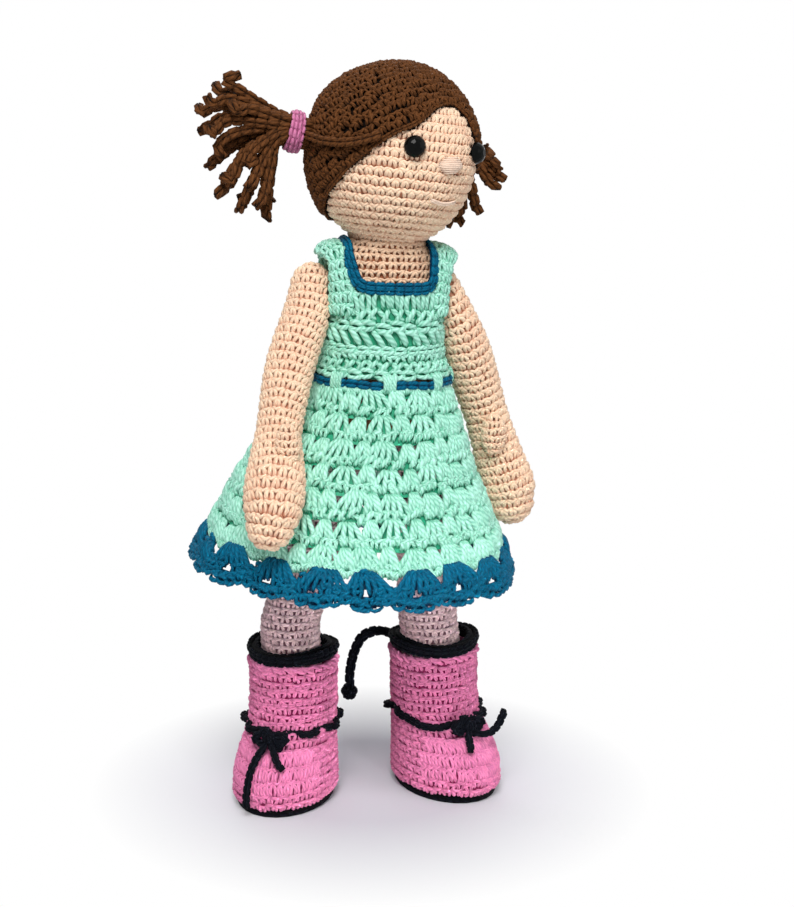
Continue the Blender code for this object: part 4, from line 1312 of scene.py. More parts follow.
@dataclass
class Torso:
    """The stuffed body, of which the neck and shoulders show."""

    height: float = 0.101
    below_hip: float = 0.014
    width: float = 0.059
    depth: float = 0.047
    shown: tuple[float, float] = (0.040, 0.0885)
    sink: float = 0.0013
    row: float = 0.0036
    stitch: float = 0.0044
    outline: Table = (
        (0.0, 0.41, 0.43), (0.038, 0.68, 0.68), (0.094, 0.90, 0.89), (0.17, 0.98, 0.98), (0.264, 1.0, 1.0),
        (0.321, 0.985, 0.98), (0.415, 0.90, 0.915), (0.509, 0.837, 0.872), (0.604, 0.824, 0.851),
        (0.698, 0.847, 0.83), (0.774, 0.881, 0.80), (0.83, 0.898, 0.766), (0.877, 0.865, 0.74),
        (0.906, 0.74, 0.723), (0.925, 0.625, 0.723), (1.0, 0.593, 0.723),
    )

    def half(self, height: Array) -> tuple[Array, Array]:
        """Half the body's width and depth at heights over the hips."""
        wide, deep = between(self.outline, (np.asarray(height) + self.below_hip) / self.height)
        return wide * self.width / 2, deep * self.depth / 2

    def form(self, low: float, high: float, extra: float = 0.0) -> Form:
        """The body's surface between two heights, or one off it."""
        heights = np.linspace(low, high, 60)
        half_x, half_y = self.half(heights)
        centres = upright(heights)
        return Form(placed(ovals(centres, half_x + extra, half_y + extra), STANCE.upper()))

    def build(self, work: Needlework) -> None:
        """Rows of single crochet from the dress's neckline to under the chin."""
        mesh, form = YarnMesh(), self.form(*self.shown, -self.sink)
        work.lay(mesh, work.rows(form, 0.0, form.top, self.row, self.stitch, 0.0009, 0.12), SINGLE)
        crocheted("body", "torso", SHADED_NECK, core_of("body", CORE_INSET), mesh)


@dataclass
class Arms:
    """Two stuffed arms with mitten hands, and a bobble for each thumb."""

    drop: float = 0.110
    radius: float = 0.0118
    stitch: float = 0.0043
    row: float = 0.0044
    sink: float = 0.0013
    # How far in from the shoulder the rows start, since the dress hides the rest
    inner: float = -0.0085
    # An arm's middle line: out, ahead, down and girth, in arm lengths and in its radius
    right: Table = (
        (-0.022, 0.0, 0.0, 0.80), (-0.002, 0.045, 0.105, 0.91), (0.082, 0.157, 0.323, 0.94),
        (0.140, 0.292, 0.555, 0.86), (0.158, 0.367, 0.65, 1.00), (0.176, 0.452, 0.75, 1.13),
        (0.190, 0.502, 0.84, 1.06), (0.198, 0.515, 0.885, 0.88),
    )
    left: Table = (
        (-0.085, 0.0, 0.0, 0.70), (-0.022, -0.008, 0.12, 0.80), (0.040, -0.03, 0.25, 0.92),
        (0.102, -0.069, 0.402, 0.94),
        (0.167, -0.085, 0.569, 0.88), (0.226, -0.074, 0.735, 0.99), (0.270, -0.065, 0.86, 1.11),
        (0.284, -0.062, 0.92, 0.95),
    )
    thumb_length: float = 0.0185
    thumb_sink: float = 0.0010

    def route(self, side: Side) -> Array:
        """The arm's middle line and girth, from the shoulder down, in the shoulder's frame."""
        table = self.right if side is Side.RIGHT else self.left
        units = np.array((side.value * self.drop, -self.drop, -self.drop, self.radius))
        return smooth_line(np.array(table) * units, 60)

    def form(self, side: Side) -> Form:
        """The arm's surface as rings square to its line, rounded at both ends."""
        line = self.route(side)[::-1]
        points, radii = line[:, :3], line[:, 3]
        way = unit(np.gradient(points, axis=0))
        tip = np.radians(np.linspace(88, 0, 10, endpoint=False))
        tip_radius, shoulder = radii[0] * 1.02, radii[-1]
        top = np.radians(np.linspace(0, 88, 10)[1:])
        below = points[0] - way[0] * tip_radius * np.sin(tip)[:, None]
        above = points[-1] + way[-1] * shoulder * np.sin(top)[:, None]
        centres = np.vstack((below, points, above))
        ways = np.vstack((np.repeat(way[:1], 10, axis=0), way, np.repeat(way[-1:], 9, axis=0)))
        sizes = np.concatenate((tip_radius * np.cos(tip), radii, shoulder * np.cos(top)))
        sizes = np.maximum(sizes - self.sink, 0.0002)
        front = unit(np.array((0, -1.0, 0)) - ways * -ways[:, 1:2])
        side_way = np.cross(ways, front)
        angle = spokes(64)[:, None]
        ring = front[:, None] * np.cos(angle) + side_way[:, None] * np.sin(angle)
        return Form(placed(centres[:, None] + sizes[:, None, None] * ring, STANCE.shoulder(side)))

    def build(self, work: Needlework) -> None:
        """Both arms and thumbs."""
        for side in Side:
            mesh, form = YarnMesh(), self.form(side)
            shoulder = STANCE.shoulder(side)

            def shown(points: Array, where: Matrix = shoulder.inverted(), sign: int = side.value) -> Array:
                return placed(points, where)[..., 0] * sign > self.inner

            rows = work.rows(form, 0.0012, form.top - 0.002, self.row, self.stitch, 0.0009, 0.5, shown)
            work.lay(mesh, rows, SINGLE)
            arm = f"arm_{side.word}"
            core = core_on(f"{arm}_core", form, SKIN)
            crocheted(arm, arm, SKIN, core, mesh)
            self.thumb(work, side)

    def thumb(self, work: Needlework, side: Side) -> None:
        """The thumb's small rows of single crochet."""
        thumb = f"thumb_{side.word}"
        low, high = np.array(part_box(thumb))
        middle = (low + high) / 2
        rise = np.radians(np.linspace(-85, 85, 30))
        centres = middle + upright(self.thumb_length / 2 * np.sin(rise))
        half_x, half_y = (((high - low) / 2 - self.thumb_sink)[k] * np.cos(rise) for k in (0, 1))
        form, mesh = Form(ovals(centres, half_x, half_y, 48)), YarnMesh()
        work.lay(mesh, work.rows(form, 0.0005, form.top - 0.0005, 0.0036, 0.0034, 0.0007, 0.4), SINGLE)
        piece = crocheted(thumb, f"arm_{side.word}", SKIN, core_of(thumb, 0.0016), mesh)


@dataclass(frozen=True)
class Band:
    """One band of stitches: its range along the form, its stitch, and the stitch's width and girth."""

    low: float
    high: float
    stitch: tuple[Strand, ...]
    width: float = 0.0042
    girth: float = 0.0040


@dataclass
class Bodice:
    """The dress above the waist: bands of stitches, straps, trim and ribbon."""

    torso: Torso
    bottom: float = 0.0206
    tall: float = 0.0412
    sill: float = 0.0600
    armhole: float = 0.0130
    chest: float = 0.018
    loft: float = 0.0009
    wall: float = 0.0019
    strap_thickness: float = 0.0020
    neck_reach: tuple[float, float] = (0.0162, 0.0180)
    neck_flare: tuple[float, float] = (0.0040, 0.0006)
    trim_height: float = 0.0612
    trim_width: float = 0.0052
    ribbon_height: float = 0.0182
    crossings: int = 8
    # A strap's outer edge from the front to the top of the shoulder
    strap_edge: Table = (
        (0.0262, -0.0100, 0.0480), (0.0264, -0.0096, 0.0560), (0.0268, -0.0098, 0.0640),
        (0.0278, -0.0104, 0.0712),
        (0.0290, -0.0100, 0.0736), (0.0308, -0.0062, 0.0744), (0.0314, 0.0, 0.0747),
    )
    bands: tuple[Band, ...] = (
        Band(0.0000, 0.0040, LOOPS, 0.0058, 0.0044), Band(0.0036, 0.0080, CROSS, 0.0050, 0.0047),
        Band(0.0080, 0.0120, SINGLE, 0.0050, 0.0046),
        Band(0.0118, 0.0146, LOOPS, 0.0052, 0.0036), Band(0.0144, 0.0220, SLANTED, 0.0050, 0.0047),
        Band(0.0216, 0.0256, LOOPS, 0.0060, 0.0044), Band(0.0254, 0.0316, CROSS, 0.0052, 0.0052),
        Band(0.0314, 0.0410, TALL, 0.0047, 0.0050),
    )

    def side_y(self, x: float, height: float, off: float) -> float:
        """How far in front of the middle the dress's surface is at a place across and up."""
        half_x, half_y = self.torso.half(height)
        return float((half_y + off) * math.sqrt(max(0.02, 1 - (x / (half_x + off)) ** 2)))

    def build(self, work: Needlework) -> None:
        """The bodice, its straps, trim and ribbon."""
        mesh, form = YarnMesh(), self.torso.form(self.bottom, self.bottom + self.tall, self.wall)
        inverse = STANCE.upper().inverted()

        def shown(points: Array) -> Array:
            own = placed(points, inverse)
            reach = np.hypot(own[..., 1], own[..., 2] - STANCE.shoulder_height)
            return ((reach > self.armhole) | (np.abs(own[..., 0]) < self.chest)) & (own[..., 2] < self.sill)

        for band in self.bands:
            high = min(band.high, form.top)
            places = work.rows(form, band.low, high, band.high - band.low, band.width, self.loft, 0.0, shown)
            for spot in places:
                spot.girth = band.girth
            work.lay(mesh, places, band.stitch, 0.09)
        rows = mesh.build("bodice_rows", MINT)
        # The cloth between the stitches is darker than the yarn: painted shade
        cloth = cloth_on(
            "bodice_cloth", form, MINT, 96, 40, lambda turn, up, points: ~shown(points), -0.0008, 0.24
        )
        straps = []
        for side in Side:
            mesh, strap = YarnMesh(), self.strap(side)
            work.lay(mesh, work.rows(strap, 0.0, strap.top, 0.0050, 0.0043, 0.0008, 0.5), TALL)
            straps.append(mesh.build(f"strap_{side.word}_rows", MINT))
            # The strap's band under its stitches is darker too: painted shade
            straps.append(cloth_on(f"strap_{side.word}_band", strap, MINT, 24, 40, closed, CORE_DEPTH))
        yarn = joined("bodice_stitches", MINT, [rows, *straps])
        settle(cloth, "torso", MINT, "dress_bodice")
        settle(yarn, "torso", MINT)
        flat = (form.girth(0.0), form.top)
        self.trim(work)
        self.ribbon(work)

    def strap(self, side: Side) -> Form:
        """A strap as a flat tube from the front over the shoulder to the back."""
        pick = 0 if side is Side.RIGHT else 1
        inner_x = self.neck_reach[pick] + 0.0016
        top_x = inner_x + self.neck_flare[pick]
        front = []
        for _, _, height in self.strap_edge[:4]:
            x = float(np.interp(height, (self.trim_height, 0.0712), (inner_x, top_x)))
            front.append((x, -self.side_y(x, height, self.wall), height))
        front += [(top_x, -0.0120, 0.0762), (top_x, -0.0062, 0.0783), (top_x, 0.0, 0.0788)]
        edges = []
        for half in (front, self.strap_edge):
            whole = list(half) + [(x, -y, z) for x, y, z in reversed(half[:-1])]
            edges.append(smooth_line(whole, 48))
        inner, outer = edges
        across = np.linspace(0, 1, 14)[:, None]
        way = np.gradient((inner + outer) / 2, axis=0)
        away = unit(np.cross(way, outer - inner))
        away *= np.sign((away * ((inner + outer) / 2 - np.array((0, 0, 0.05)))).sum(axis=1, keepdims=True))
        rings = []
        for i in range(48):
            crown = (0.0012 * (1 - (2 * across - 1) ** 2)) * away[i]
            face = inner[i] * (1 - across) + outer[i] * across + crown
            thick = self.strap_thickness / 2 * np.sqrt(np.clip(1 - (2 * across - 1) ** 6, 0.1, 1)) * away[i]
            rings.append(np.vstack((face + thick, (face - thick)[::-1])))
        rings = np.array(rings)
        rings[..., 0] *= side.value
        return Form(placed(rings, STANCE.upper()))

    def neckline(self) -> tuple[Array, Array]:
        """The trim's middle line right round the neck, and the way out of the dress along it."""
        quarter = (
            (0.0, 0.0), (0.5, 0.0), (0.78, 0.0003), (0.93, 0.0016), (1.0, 0.0048), (1.0, 0.0090),
            (1.0, 0.0142)
        )
        line = []
        for side in (Side.LEFT, Side.RIGHT):
            pick = 0 if side is Side.RIGHT else 1
            reach, flare = self.neck_reach[pick], self.neck_flare[pick]
            points = []
            for share, rise in quarter:
                x = share * reach + flare * min(1.0, rise / 0.0142)
                height = self.trim_height + rise
                points.append((x, -self.side_y(x, height, self.wall + 0.0012), height))
            last_y, last_z = points[-1][1:]
            for angle in (30, 60, 90):
                a = math.radians(angle)
                points.append((reach + flare, last_y * math.cos(a), last_z + 0.0046 * math.sin(a)))
            points += [(x, -y, z) for x, y, z in reversed(points[:-1])]
            half = [(x * side.value, y, z) for x, y, z in points]
            line += half if side is Side.LEFT else half[::-1][1:]
        route = smooth_line(line, 220)
        outs = route - np.array((0.0, 0.0, 0.0600))
        outs[:, 2] = np.maximum(outs[:, 2] - 0.012, 0.0) * 2.4
        return placed(route, STANCE.upper()), turned(outs, STANCE.upper())

    def trim(self, work: Needlework) -> None:
        """The blue edge round the neck: two chains side by side over a flat band."""
        route, outs = self.neckline()
        line, mesh = Line(route, outs), YarnMesh()
        for share in (-0.24, 0.24):
            places = np.linspace(0, line.length, 220)
            points, sideways, away = line.at(places)
            work.chain(
                mesh, points + sideways * share * self.trim_width, away, self.trim_width * 0.70, 1.15,
                both=False, core=0.24
            )
        # The flat band under the chains is darker: painted shade
        flat = np.full((1, 220), self.trim_width * 0.46)
        mesh.sweep(
            route[None] - line.out[None] * 0.0007, line.out[None], flat, np.full((1, 220), 0.25), 8, 0.25
        )
        settle(mesh.build("trim_chains", BLUE), "torso", BLUE, "neckline_trim")

    def ribbon(self, work: Needlework) -> None:
        """The blue cord round the waist, and the mint strands that cross it."""
        angle = circle(160)
        half_x, half_y = (float(v[0]) + 0.0027 for v in self.torso.half(np.array([self.ribbon_height])))
        sag = 0.0004 * np.sin(angle * self.crossings)
        ring = np.column_stack((half_x * np.cos(angle), half_y * np.sin(angle), self.ribbon_height + sag))
        outs = np.column_stack((np.cos(angle), np.sin(angle), np.zeros(160)))
        mesh = YarnMesh()
        work.chain(mesh, placed(ring, STANCE.upper()), outs, 0.0042, 1.3, both=False, core=0.36)
        settle(mesh.build("ribbon_cord", BLUE), "torso", BLUE, "waist_ribbon")
        mesh = YarnMesh()
        form = self.torso.form(self.ribbon_height - 0.0042, self.ribbon_height + 0.0056, 0.0028)
        turns = (np.arange(self.crossings) - 93 / 45) / self.crossings
        for shift, wide in ((0.0, 0.030), (0.0060, 0.016), (-0.0075, 0.014)):
            spot = Laying(form, turns + shift, 0.0, wide, form.top, 0.0021, 0.0042)
            work.lay(mesh, [spot], CROSS if shift == 0 else TALL[:2], 0.04)
        settle(mesh.build("ribbon_crossings", MINT), "torso", MINT)


@dataclass
class Skirt:
    """The openwork skirt of fans in columns, and its blue border."""

    hem_width: float = 0.149
    border_bottom: float = -0.0695
    skirt_bottom: float = -0.0562
    waist: float = 0.0168
    columns: int = 20
    column_shift: float = -0.45
    rows: int = 7
    cell: float = 0.0100
    lobe: float = 0.0030
    outline: Table = (
        (0.0, 1.0, -0.109, 1.0), (0.13, 0.935, -0.102, 1.0), (0.27, 0.862, -0.102, 1.0),
        (0.41, 0.795, -0.105, 1.0),
        (0.58, 0.70, -0.098, 0.99), (0.75, 0.592, -0.048, 0.96), (0.88, 0.50, -0.012, 0.88),
        (1.0, 0.442, 0.0, 0.81),
    )
    folds: int = 9
    fold_depth: float = 0.0011
    # Fans as told to spread: those of even rows and odd rows, and the crossed pairs between them
    shells: Table = ((5, 0.50, 0.26, 0.16, 0.28), (4, 0.47, 0.26, 0.14, 0.29))
    crossed: Table = ((2, 0.38, 0.34, 0.0, 0.31), (2, 0.14, 0.46, 0.0, 0.26))
    petal: tuple[int, float, float, float, float] = (7, 0.45, 0.50, -0.08, 0.27)
    petal_top: float = 0.92
    jitter: float = 0.04
    fine_width: float = 0.0040

    def form(self, low: float, high: float, extra: float) -> Form:
        """The skirt's surface between two heights over the hips."""
        heights = np.linspace(low, high, 64)
        share = (heights - self.border_bottom) / (self.waist - self.border_bottom)
        half, shift, deep = between(self.outline, share)
        half, shift = half * self.hem_width / 2, shift * self.hem_width / 2
        angle = spokes(160)
        fold = self.fold_depth * np.clip(1 - share, 0, 1)[:, None] ** 2 * np.cos(self.folds * angle)
        radius = half[:, None] + fold + extra
        flare = -0.0030 * np.clip(1 - share, 0, 1)[:, None] ** 1.6 * np.clip(-np.cos(angle), 0, 1) ** 2
        across = shift[:, None] + (radius - flare) * np.cos(angle)
        ahead = radius * deep[:, None] * np.sin(angle)
        return Form(
            placed(np.stack((across, ahead, heights[:, None] - 1.25 * flare), axis=-1), STANCE.upper())
        )

    def build(self, work: Needlework) -> None:
        """The skirt's cloth and yarn, then the border's."""
        self.fans(work)
        self.border(work)

    def cells(self, form: Form, low: float, tall: float) -> Laying:
        """Places for a row of cells.

        Args:
            form: what they lie on.
            low: where the row starts.
            tall: the row's height.

        Returns:
            Their places.
        """
        turn = (np.arange(self.columns) + self.column_shift) / self.columns
        return Laying(form, turn, low, 1 / self.columns, tall, 0.0011, 0.0041)

    def lattice(self, form: Form, tall: float) -> list[tuple[int, float]]:
        """How many cells each row of fans has, and where its first is.

        Args:
            form: what they lie on.
            tall: a row's height.

        Returns:
            A count, even, and a share of a cell for each row.
        """
        found = [(2 * self.columns, 2 * self.column_shift)]
        for row in range(1, self.rows):
            found.append((2 * round(form.girth(tall * (row + 0.5)) / self.cell / 2), 0.7 * row))
        return found

    def spread(self, posts: int, reach: float, foot: float, bend: float, girth: float) -> list[Strand]:
        """The posts of one fan, whose point is at its top.

        Args:
            posts: how many.
            reach: half the fan's width, as a share of the cell's.
            foot: how high the middle post ends.
            bend: how much higher the outer ones end.
            girth: a post's girth.

        Returns:
            The strands.
        """
        found = []
        for t in np.linspace(-1, 1, posts):
            end, x = foot + bend * t * t, reach * t
            rise = 1.0 - 0.10 * t * t
            found.append(strand(
                (0.30 * x, 1.10, -0.7, girth * 0.6), (0.44 * x, 1.02, 0.3, girth * 0.9),
                (0.70 * x, rise - 0.22 * (rise - end), 1.05, girth * 1.04),
                (0.90 * x, rise - 0.60 * (rise - end), 0.95, girth * 1.08),
                (x, end, 0.35, girth), (1.02 * x, end - 0.09, -0.7, girth * 0.65),
            ))
        return found

    def small(
        self, work: Needlework, mesh: YarnMesh, cells: Laying, count: int, low: float, tall: float,
        wave: float,
        stitch: Sequence[Strand] = SINGLE, without: int = -1,
    ) -> None:
        """A row of small stitches along the lower edge of each cell.

        Args:
            work: the hand that lays them.
            mesh: where they go.
            cells: the cells.
            count: how many in one cell.
            low, tall: their place and height, as shares of the cell's height.
            wave: how much higher they lie at the cell's sides, as a share.
            stitch: the stitch's strands.
            without: one that is left out, or -1.
        """
        for k in range(count):
            if k == without:
                continue
            x = (k + 0.5) / count - 0.5
            lift = low + wave * (0.5 - 0.5 * math.cos(2 * math.pi * x))
            spot = Laying(
                cells.form, cells.turn + x * cells.wide, cells.height + cells.tall * lift, cells.wide / count,
                cells.tall * tall,
                0.0009, 0.0036,
            )
            work.lay(mesh, [spot], stitch, 0.10)

    def fans(self, work: Needlework) -> None:
        """Rows of fans over fine rows, then the cloth between them."""
        form = self.form(self.skirt_bottom - self.lobe, self.waist + 0.0008, -0.0020)
        mesh = YarnMesh()
        tall = (form.top - 0.0030) / self.rows
        shells = [self.spread(*shell) for shell in self.shells]
        crossed = [post for pair in self.crossed for post in self.spread(*pair)]
        for row, (count, shift) in enumerate(self.lattice(form, tall)):
            turn = (np.arange(count) + shift) / count
            jitter = work.random.normal(0, self.jitter, (2, count))
            for start, posts in ((0, shells[row % 2]), (1, crossed)):
                pick = np.arange(start, count, 2)
                wide = (1.26 if start == 0 else 0.84) / count
                spot = Laying(
                    form, turn[pick] + jitter[0, pick] / count, tall * (row + jitter[1, pick]), wide, tall,
                    0.0010, 0.0041,
                )
                work.lay(mesh, [spot], posts, 0.06)
            if row:
                fine = round(form.girth(tall * row) / self.fine_width)
                turn = np.arange(fine) / fine
                wave = 0.0007 * np.cos(2 * math.pi * (turn * count - shift))
                spot = Laying(form, turn, tall * (row + 0.08) + wave, 1 / fine, tall * 0.36, 0.0013, 0.0044)
                work.lay(mesh, [spot], (CROSS, SINGLE_LIGHT)[row % 2], 0.15)
        last = self.cells(form, 0.0, tall)
        self.small(work, mesh, last, 6, 0.42, 0.26, -0.14)
        self.small(work, mesh, last, 7, 0.26, 0.26, -0.26)
        top = self.cells(form, form.top - 0.0034, 0.0034)
        self.small(work, mesh, top, 6, 0.0, 1.0, 0.0, TALL)
        yarn = mesh.build("skirt_fans", MINT)

        counts, shifts = (np.array(column) for column in zip(*self.lattice(form, tall)))

        def is_open(turn: Array, up: Array, points: Array) -> Array:
            x = (turn * self.columns - self.column_shift + 0.5) % 1 - 0.5
            level = up * form.top / tall
            y = level % 1
            row = np.minimum(level.astype(int), self.rows - 1)
            cell = turn * counts[row] - shifts[row]
            reach = 0.20 * np.clip((y - 0.50) / 0.36, 0, 1)
            between = np.abs(np.abs((cell + 1) % 2 - 1) - 0.58)
            gap = ((between < reach) | (np.abs(cell % 2 - 1) < reach * 0.4)) & (y > 0.56) & (y < 0.97)
            below = (level < 1) & (y < 0.24 + 0.24 * np.cos(2 * math.pi * x))
            return (gap & (level < self.rows - 0.2)) | below

        # The cloth between the fans is near the deep colour: painted shade in the gaps
        cloth = cloth_on("skirt_cloth", form, MINT, 24 * self.columns, 14 * self.rows, is_open, -0.0008, 0.1)
        settle(cloth, "torso", MINT, "dress_skirt")
        settle(yarn, "torso", MINT)
        flat = ((form.girth(0.0) + form.girth(form.top)) / 2, form.top)

    def border(self, work: Needlework) -> None:
        """Blue petals under the fans, and two rows with a waved edge below them."""
        form = self.form(self.border_bottom - 0.0022, self.skirt_bottom + 0.0010, -0.0012)
        mesh = YarnMesh()
        cells = self.cells(form, 0.0, form.top)
        petal = [self.lowered(post, self.petal_top) for post in self.spread(*self.petal)]
        work.lay(mesh, [cells], petal, 0.08)
        self.small(work, mesh, cells, 6, 0.74, 0.22, -0.40, LOOPS)
        self.small(work, mesh, cells, 5, 0.26, 0.26, 0.04, SINGLE, 2)
        self.small(work, mesh, cells, 6, 0.10, 0.20, 0.04)
        self.small(work, mesh, cells, 5, -0.04, 0.22, 0.14, LOOPS)
        yarn = mesh.build("border_petals", BLUE)

        def is_open(turn: Array, up: Array, points: Array) -> Array:
            x = (turn * self.columns - self.column_shift + 0.5) % 1 - 0.5
            over = up > 0.72 + 0.22 * np.cos(2 * math.pi * x)
            inside = (np.abs(x) < 0.10 * (0.56 - up) / 0.24) & (up > 0.32) & (up < 0.56)
            return over | inside | (up < 0.08 - 0.08 * np.cos(2 * math.pi * x))

        # The cloth under the petals is darker than the yarn: painted shade
        cloth = cloth_on("border_cloth", form, BLUE, 16 * self.columns, 24, is_open, -0.0005)
        settle(cloth, "torso", BLUE, "hem_border")
        settle(yarn, "torso", BLUE)
        flat = (form.girth(0.0), form.top)

    def lowered(self, one: Strand, top: float) -> Strand:
        """The same strand with its upper end lower."""
        return Strand(
            one.across, tuple(0.4 + (y - 0.4) * (top - 0.4) / 0.6 for y in one.up), one.out, one.girth
        )


@dataclass
class Legs:
    """Two legs in mauve rows, from the boots up under the dress."""

    radius: float = 0.0140
    sink: float = 0.0012
    row: float = 0.0037
    stitch: float = 0.0047
    # From the boot to the hip: the share of the way up, then how far aside in units of a boot's reach
    right: Table = ((0.0, -1.0), (0.46, -1.045), (0.78, -0.576), (0.97, -0.279), (1.06, -0.206))
    left: Table = ((0.0, 1.0), (0.39, 0.945), (0.46, 0.90), (0.78, 0.809), (0.97, 0.653), (1.06, 0.603))

    def build(self, work: Needlework) -> None:
        """Both legs."""
        for side in Side:
            share = np.linspace(0.33, 0.93, 50)
            aside = between(self.right if side is Side.RIGHT else self.left, share)[0] * STANCE.boot_reach
            hip = STANCE.hip_place
            centres = np.column_stack((aside, hip[1] * share, hip[2] * share))
            half = np.full(50, self.radius - self.sink)
            form = Form(placed(ovals(centres, half, half, 64), STANCE.root()))
            mesh = YarnMesh()
            work.lay(mesh, work.rows(form, 0.0, form.top, self.row, self.stitch, 0.0008, 0.3), SINGLE_LIGHT)
            leg = f"leg_{side.word}"
            crocheted(leg, "torso", TIGHTS, core_of(leg, CORE_INSET), mesh)


@dataclass
class Boots:
    """Two crocheted ankle boots with navy cuffs, soles, laces and pull cords."""

    height: float = 0.0650
    length: float = 0.063
    width: float = 0.047
    outline: Table = (
        (0.0, 0.94, 0.94, 0.171), (0.10, 1.0, 1.0, 0.175), (0.24, 0.985, 0.98, 0.167),
        (0.36, 0.90, 0.94, 0.125),
        (0.46, 0.775, 0.895, 0.062), (0.56, 0.685, 0.872, 0.020), (0.70, 0.652, 0.872, 0.0),
        (1.0, 0.652, 0.872, 0.0),
    )
    lace_height: float = 0.0345
    cord: float = 0.0034
    pull_cord: float = 0.0046
    knob_half: tuple[float, float] = (0.0032, 0.0034)
    least_cord: float = 0.030
    sink: float = 0.0010
    rim_stitches: int = 26
    # The toe's rows of posts: where they start and end, how far round they go, how far others reach in
    toe_rows: tuple[float, float] = (0.0105, 0.0275)
    toe_middle: float = 0.008
    toe_turn: float = 0.95
    toe_margin: float = 0.014
    toe_overlap: float = 0.14
    # Each ridge's height at its start and end, then its angles there
    ridges: Table = (
        (0.052, 0.058, -0.9, 1.9), (0.044, 0.0505, -1.2, 1.7), (0.0375, 0.044, -0.3, 2.2),
    )
    # Each chain of the cuff: its height, how far off the wall it is, and whether it faces out or in
    cuff_rows: Table = ((0.0670, -0.0010, 1), (0.0695, -0.0002, 1), (0.0700, -0.0030, -1))
    # Each loop of a bow: its reach, its half height and its turn
    bow_loops: Table = (
        (0.0066, 0.0020, 0.05), (0.0066, 0.0022, math.pi + 0.1), (0.0052, 0.0018, -0.7),
        (0.0040, 0.0016, 2.4),
    )
    # The routes of the laces' loose ends and of the pull cords, in a boot's own frame
    loose: ClassVar[dict[tuple[str, Side], Table]] = {
        ("long", Side.RIGHT): (
            (-0.0016, -0.0331, 0.0317), (-0.0034, -0.0360, 0.0290), (-0.0052, -0.0390, 0.0246),
            (-0.0064, -0.0413, 0.0195), (-0.0070, -0.0429, 0.0135), (-0.0073, -0.0433, 0.0085),
            (-0.0072, -0.0432, 0.0050),
        ),
        ("long", Side.LEFT): (
            (0.0016, -0.0340, 0.0317), (0.0050, -0.0361, 0.0309), (0.0090, -0.0372, 0.0318),
            (0.0124, -0.0374, 0.0346), (0.0146, -0.0372, 0.0382), (0.0162, -0.0368, 0.0405),
        ),
        ("short", Side.RIGHT): (
            (0.0016, -0.0331, 0.0319), (0.0036, -0.0356, 0.0294), (0.0056, -0.0376, 0.0264),
            (0.0082, -0.0386, 0.0236),
        ),
        ("short", Side.LEFT): (
            (-0.0016, -0.0331, 0.0319), (-0.0026, -0.0360, 0.0286), (-0.0034, -0.0386, 0.0252)
        ),
    }
    pulls: ClassVar[dict[Side, Table]] = {
        Side.RIGHT: (
            (-0.0131, 0.0162, 0.0680), (-0.0178, 0.0222, 0.0688), (-0.0215, 0.0265, 0.0640),
            (-0.0225, 0.0280, 0.0560), (-0.0225, 0.0285, 0.0470), (-0.0222, 0.0285, 0.0410),
        ),
        Side.LEFT: (
            (-0.0131, 0.0162, 0.0680), (-0.0178, 0.0222, 0.0688), (-0.0235, 0.0275, 0.0650),
            (-0.0270, 0.0300, 0.0560), (-0.0285, 0.0308, 0.0470), (-0.0288, 0.0308, 0.0410),
        ),
    }

    def half(self, height: Array) -> tuple[Array, Array, Array]:
        """Half length, half width and forward shift at heights."""
        long, wide, shift = between(self.outline, np.asarray(height) / self.height)
        return long * self.length / 2, wide * self.width / 2, shift * self.length

    def form(self, side: Side) -> Form:
        """The boot's wall, its rings starting at the toe."""
        heights = np.linspace(0.0034, self.height, 80)
        half_length, half_width, shift = self.half(heights)
        centres = np.column_stack((np.zeros(80), -shift, heights))
        rings = ovals(centres, half_width - self.sink, half_length - self.sink, 96, -math.pi / 2)
        return Form(placed(rings, STANCE.boot(side)))

    def wall(self, angles: Array, heights: Union[Array, float], offs: Union[Array, float]) -> Array:
        """Points off the boot's wall in its own frame, at angles from its toe."""
        half_length, half_width, shift = self.half(heights)
        across, ahead = (half_width + offs) * np.sin(angles), -shift - (half_length + offs) * np.cos(angles)
        return np.stack(np.broadcast_arrays(across, ahead, heights), axis=-1)

    def belt(
        self, work: Needlework, mesh: YarnMesh, side: Side, angles: Array, route: Array, width: float,
        pitch: float,
        both: bool = False, rise: float = 0.0, facing: int = 1,
    ) -> None:
        """Lays a chain round the boot with its face away from the wall.

        Args:
            work: the hand that lays it.
            mesh: where it goes.
            side: the boot.
            angles: how far round from the toe each point is.
            route: the points, in the boot's own frame.
            width, pitch, both: the chain's.
            rise: how much its face looks up.
            facing: -1 to face inwards.
        """
        outs = np.column_stack((np.sin(angles), -np.cos(angles), np.full(len(angles), rise))) * facing
        here = STANCE.boot(side)
        work.chain(mesh, placed(route, here), turned(outs, here), width, pitch, both=both)

    def build(self, work: Needlework) -> None:
        """Both boots."""
        for side in Side:
            for part in (self.upper, self.sole, self.cuff, self.lace, self.bow, self.ends, self.pull):
                part(work, side)

    def upper(self, work: Needlework, side: Side) -> None:
        """Rows of single crochet, rows of long posts on the toe, and ridges round the shaft."""
        form, mesh = self.form(side), YarnMesh()
        inverse = STANCE.boot(side).inverted()
        low, high = self.toe_rows

        def toe(points: Array, inside: float = 0.0) -> Array:
            own = placed(points, inverse)
            angle = np.abs(np.arctan2(own[..., 0], -own[..., 1] - self.toe_middle))
            margin = self.toe_margin * inside
            return (
                angle < self.toe_turn - inside
            ) & (own[..., 2] > low + margin) & (own[..., 2] < high - margin)

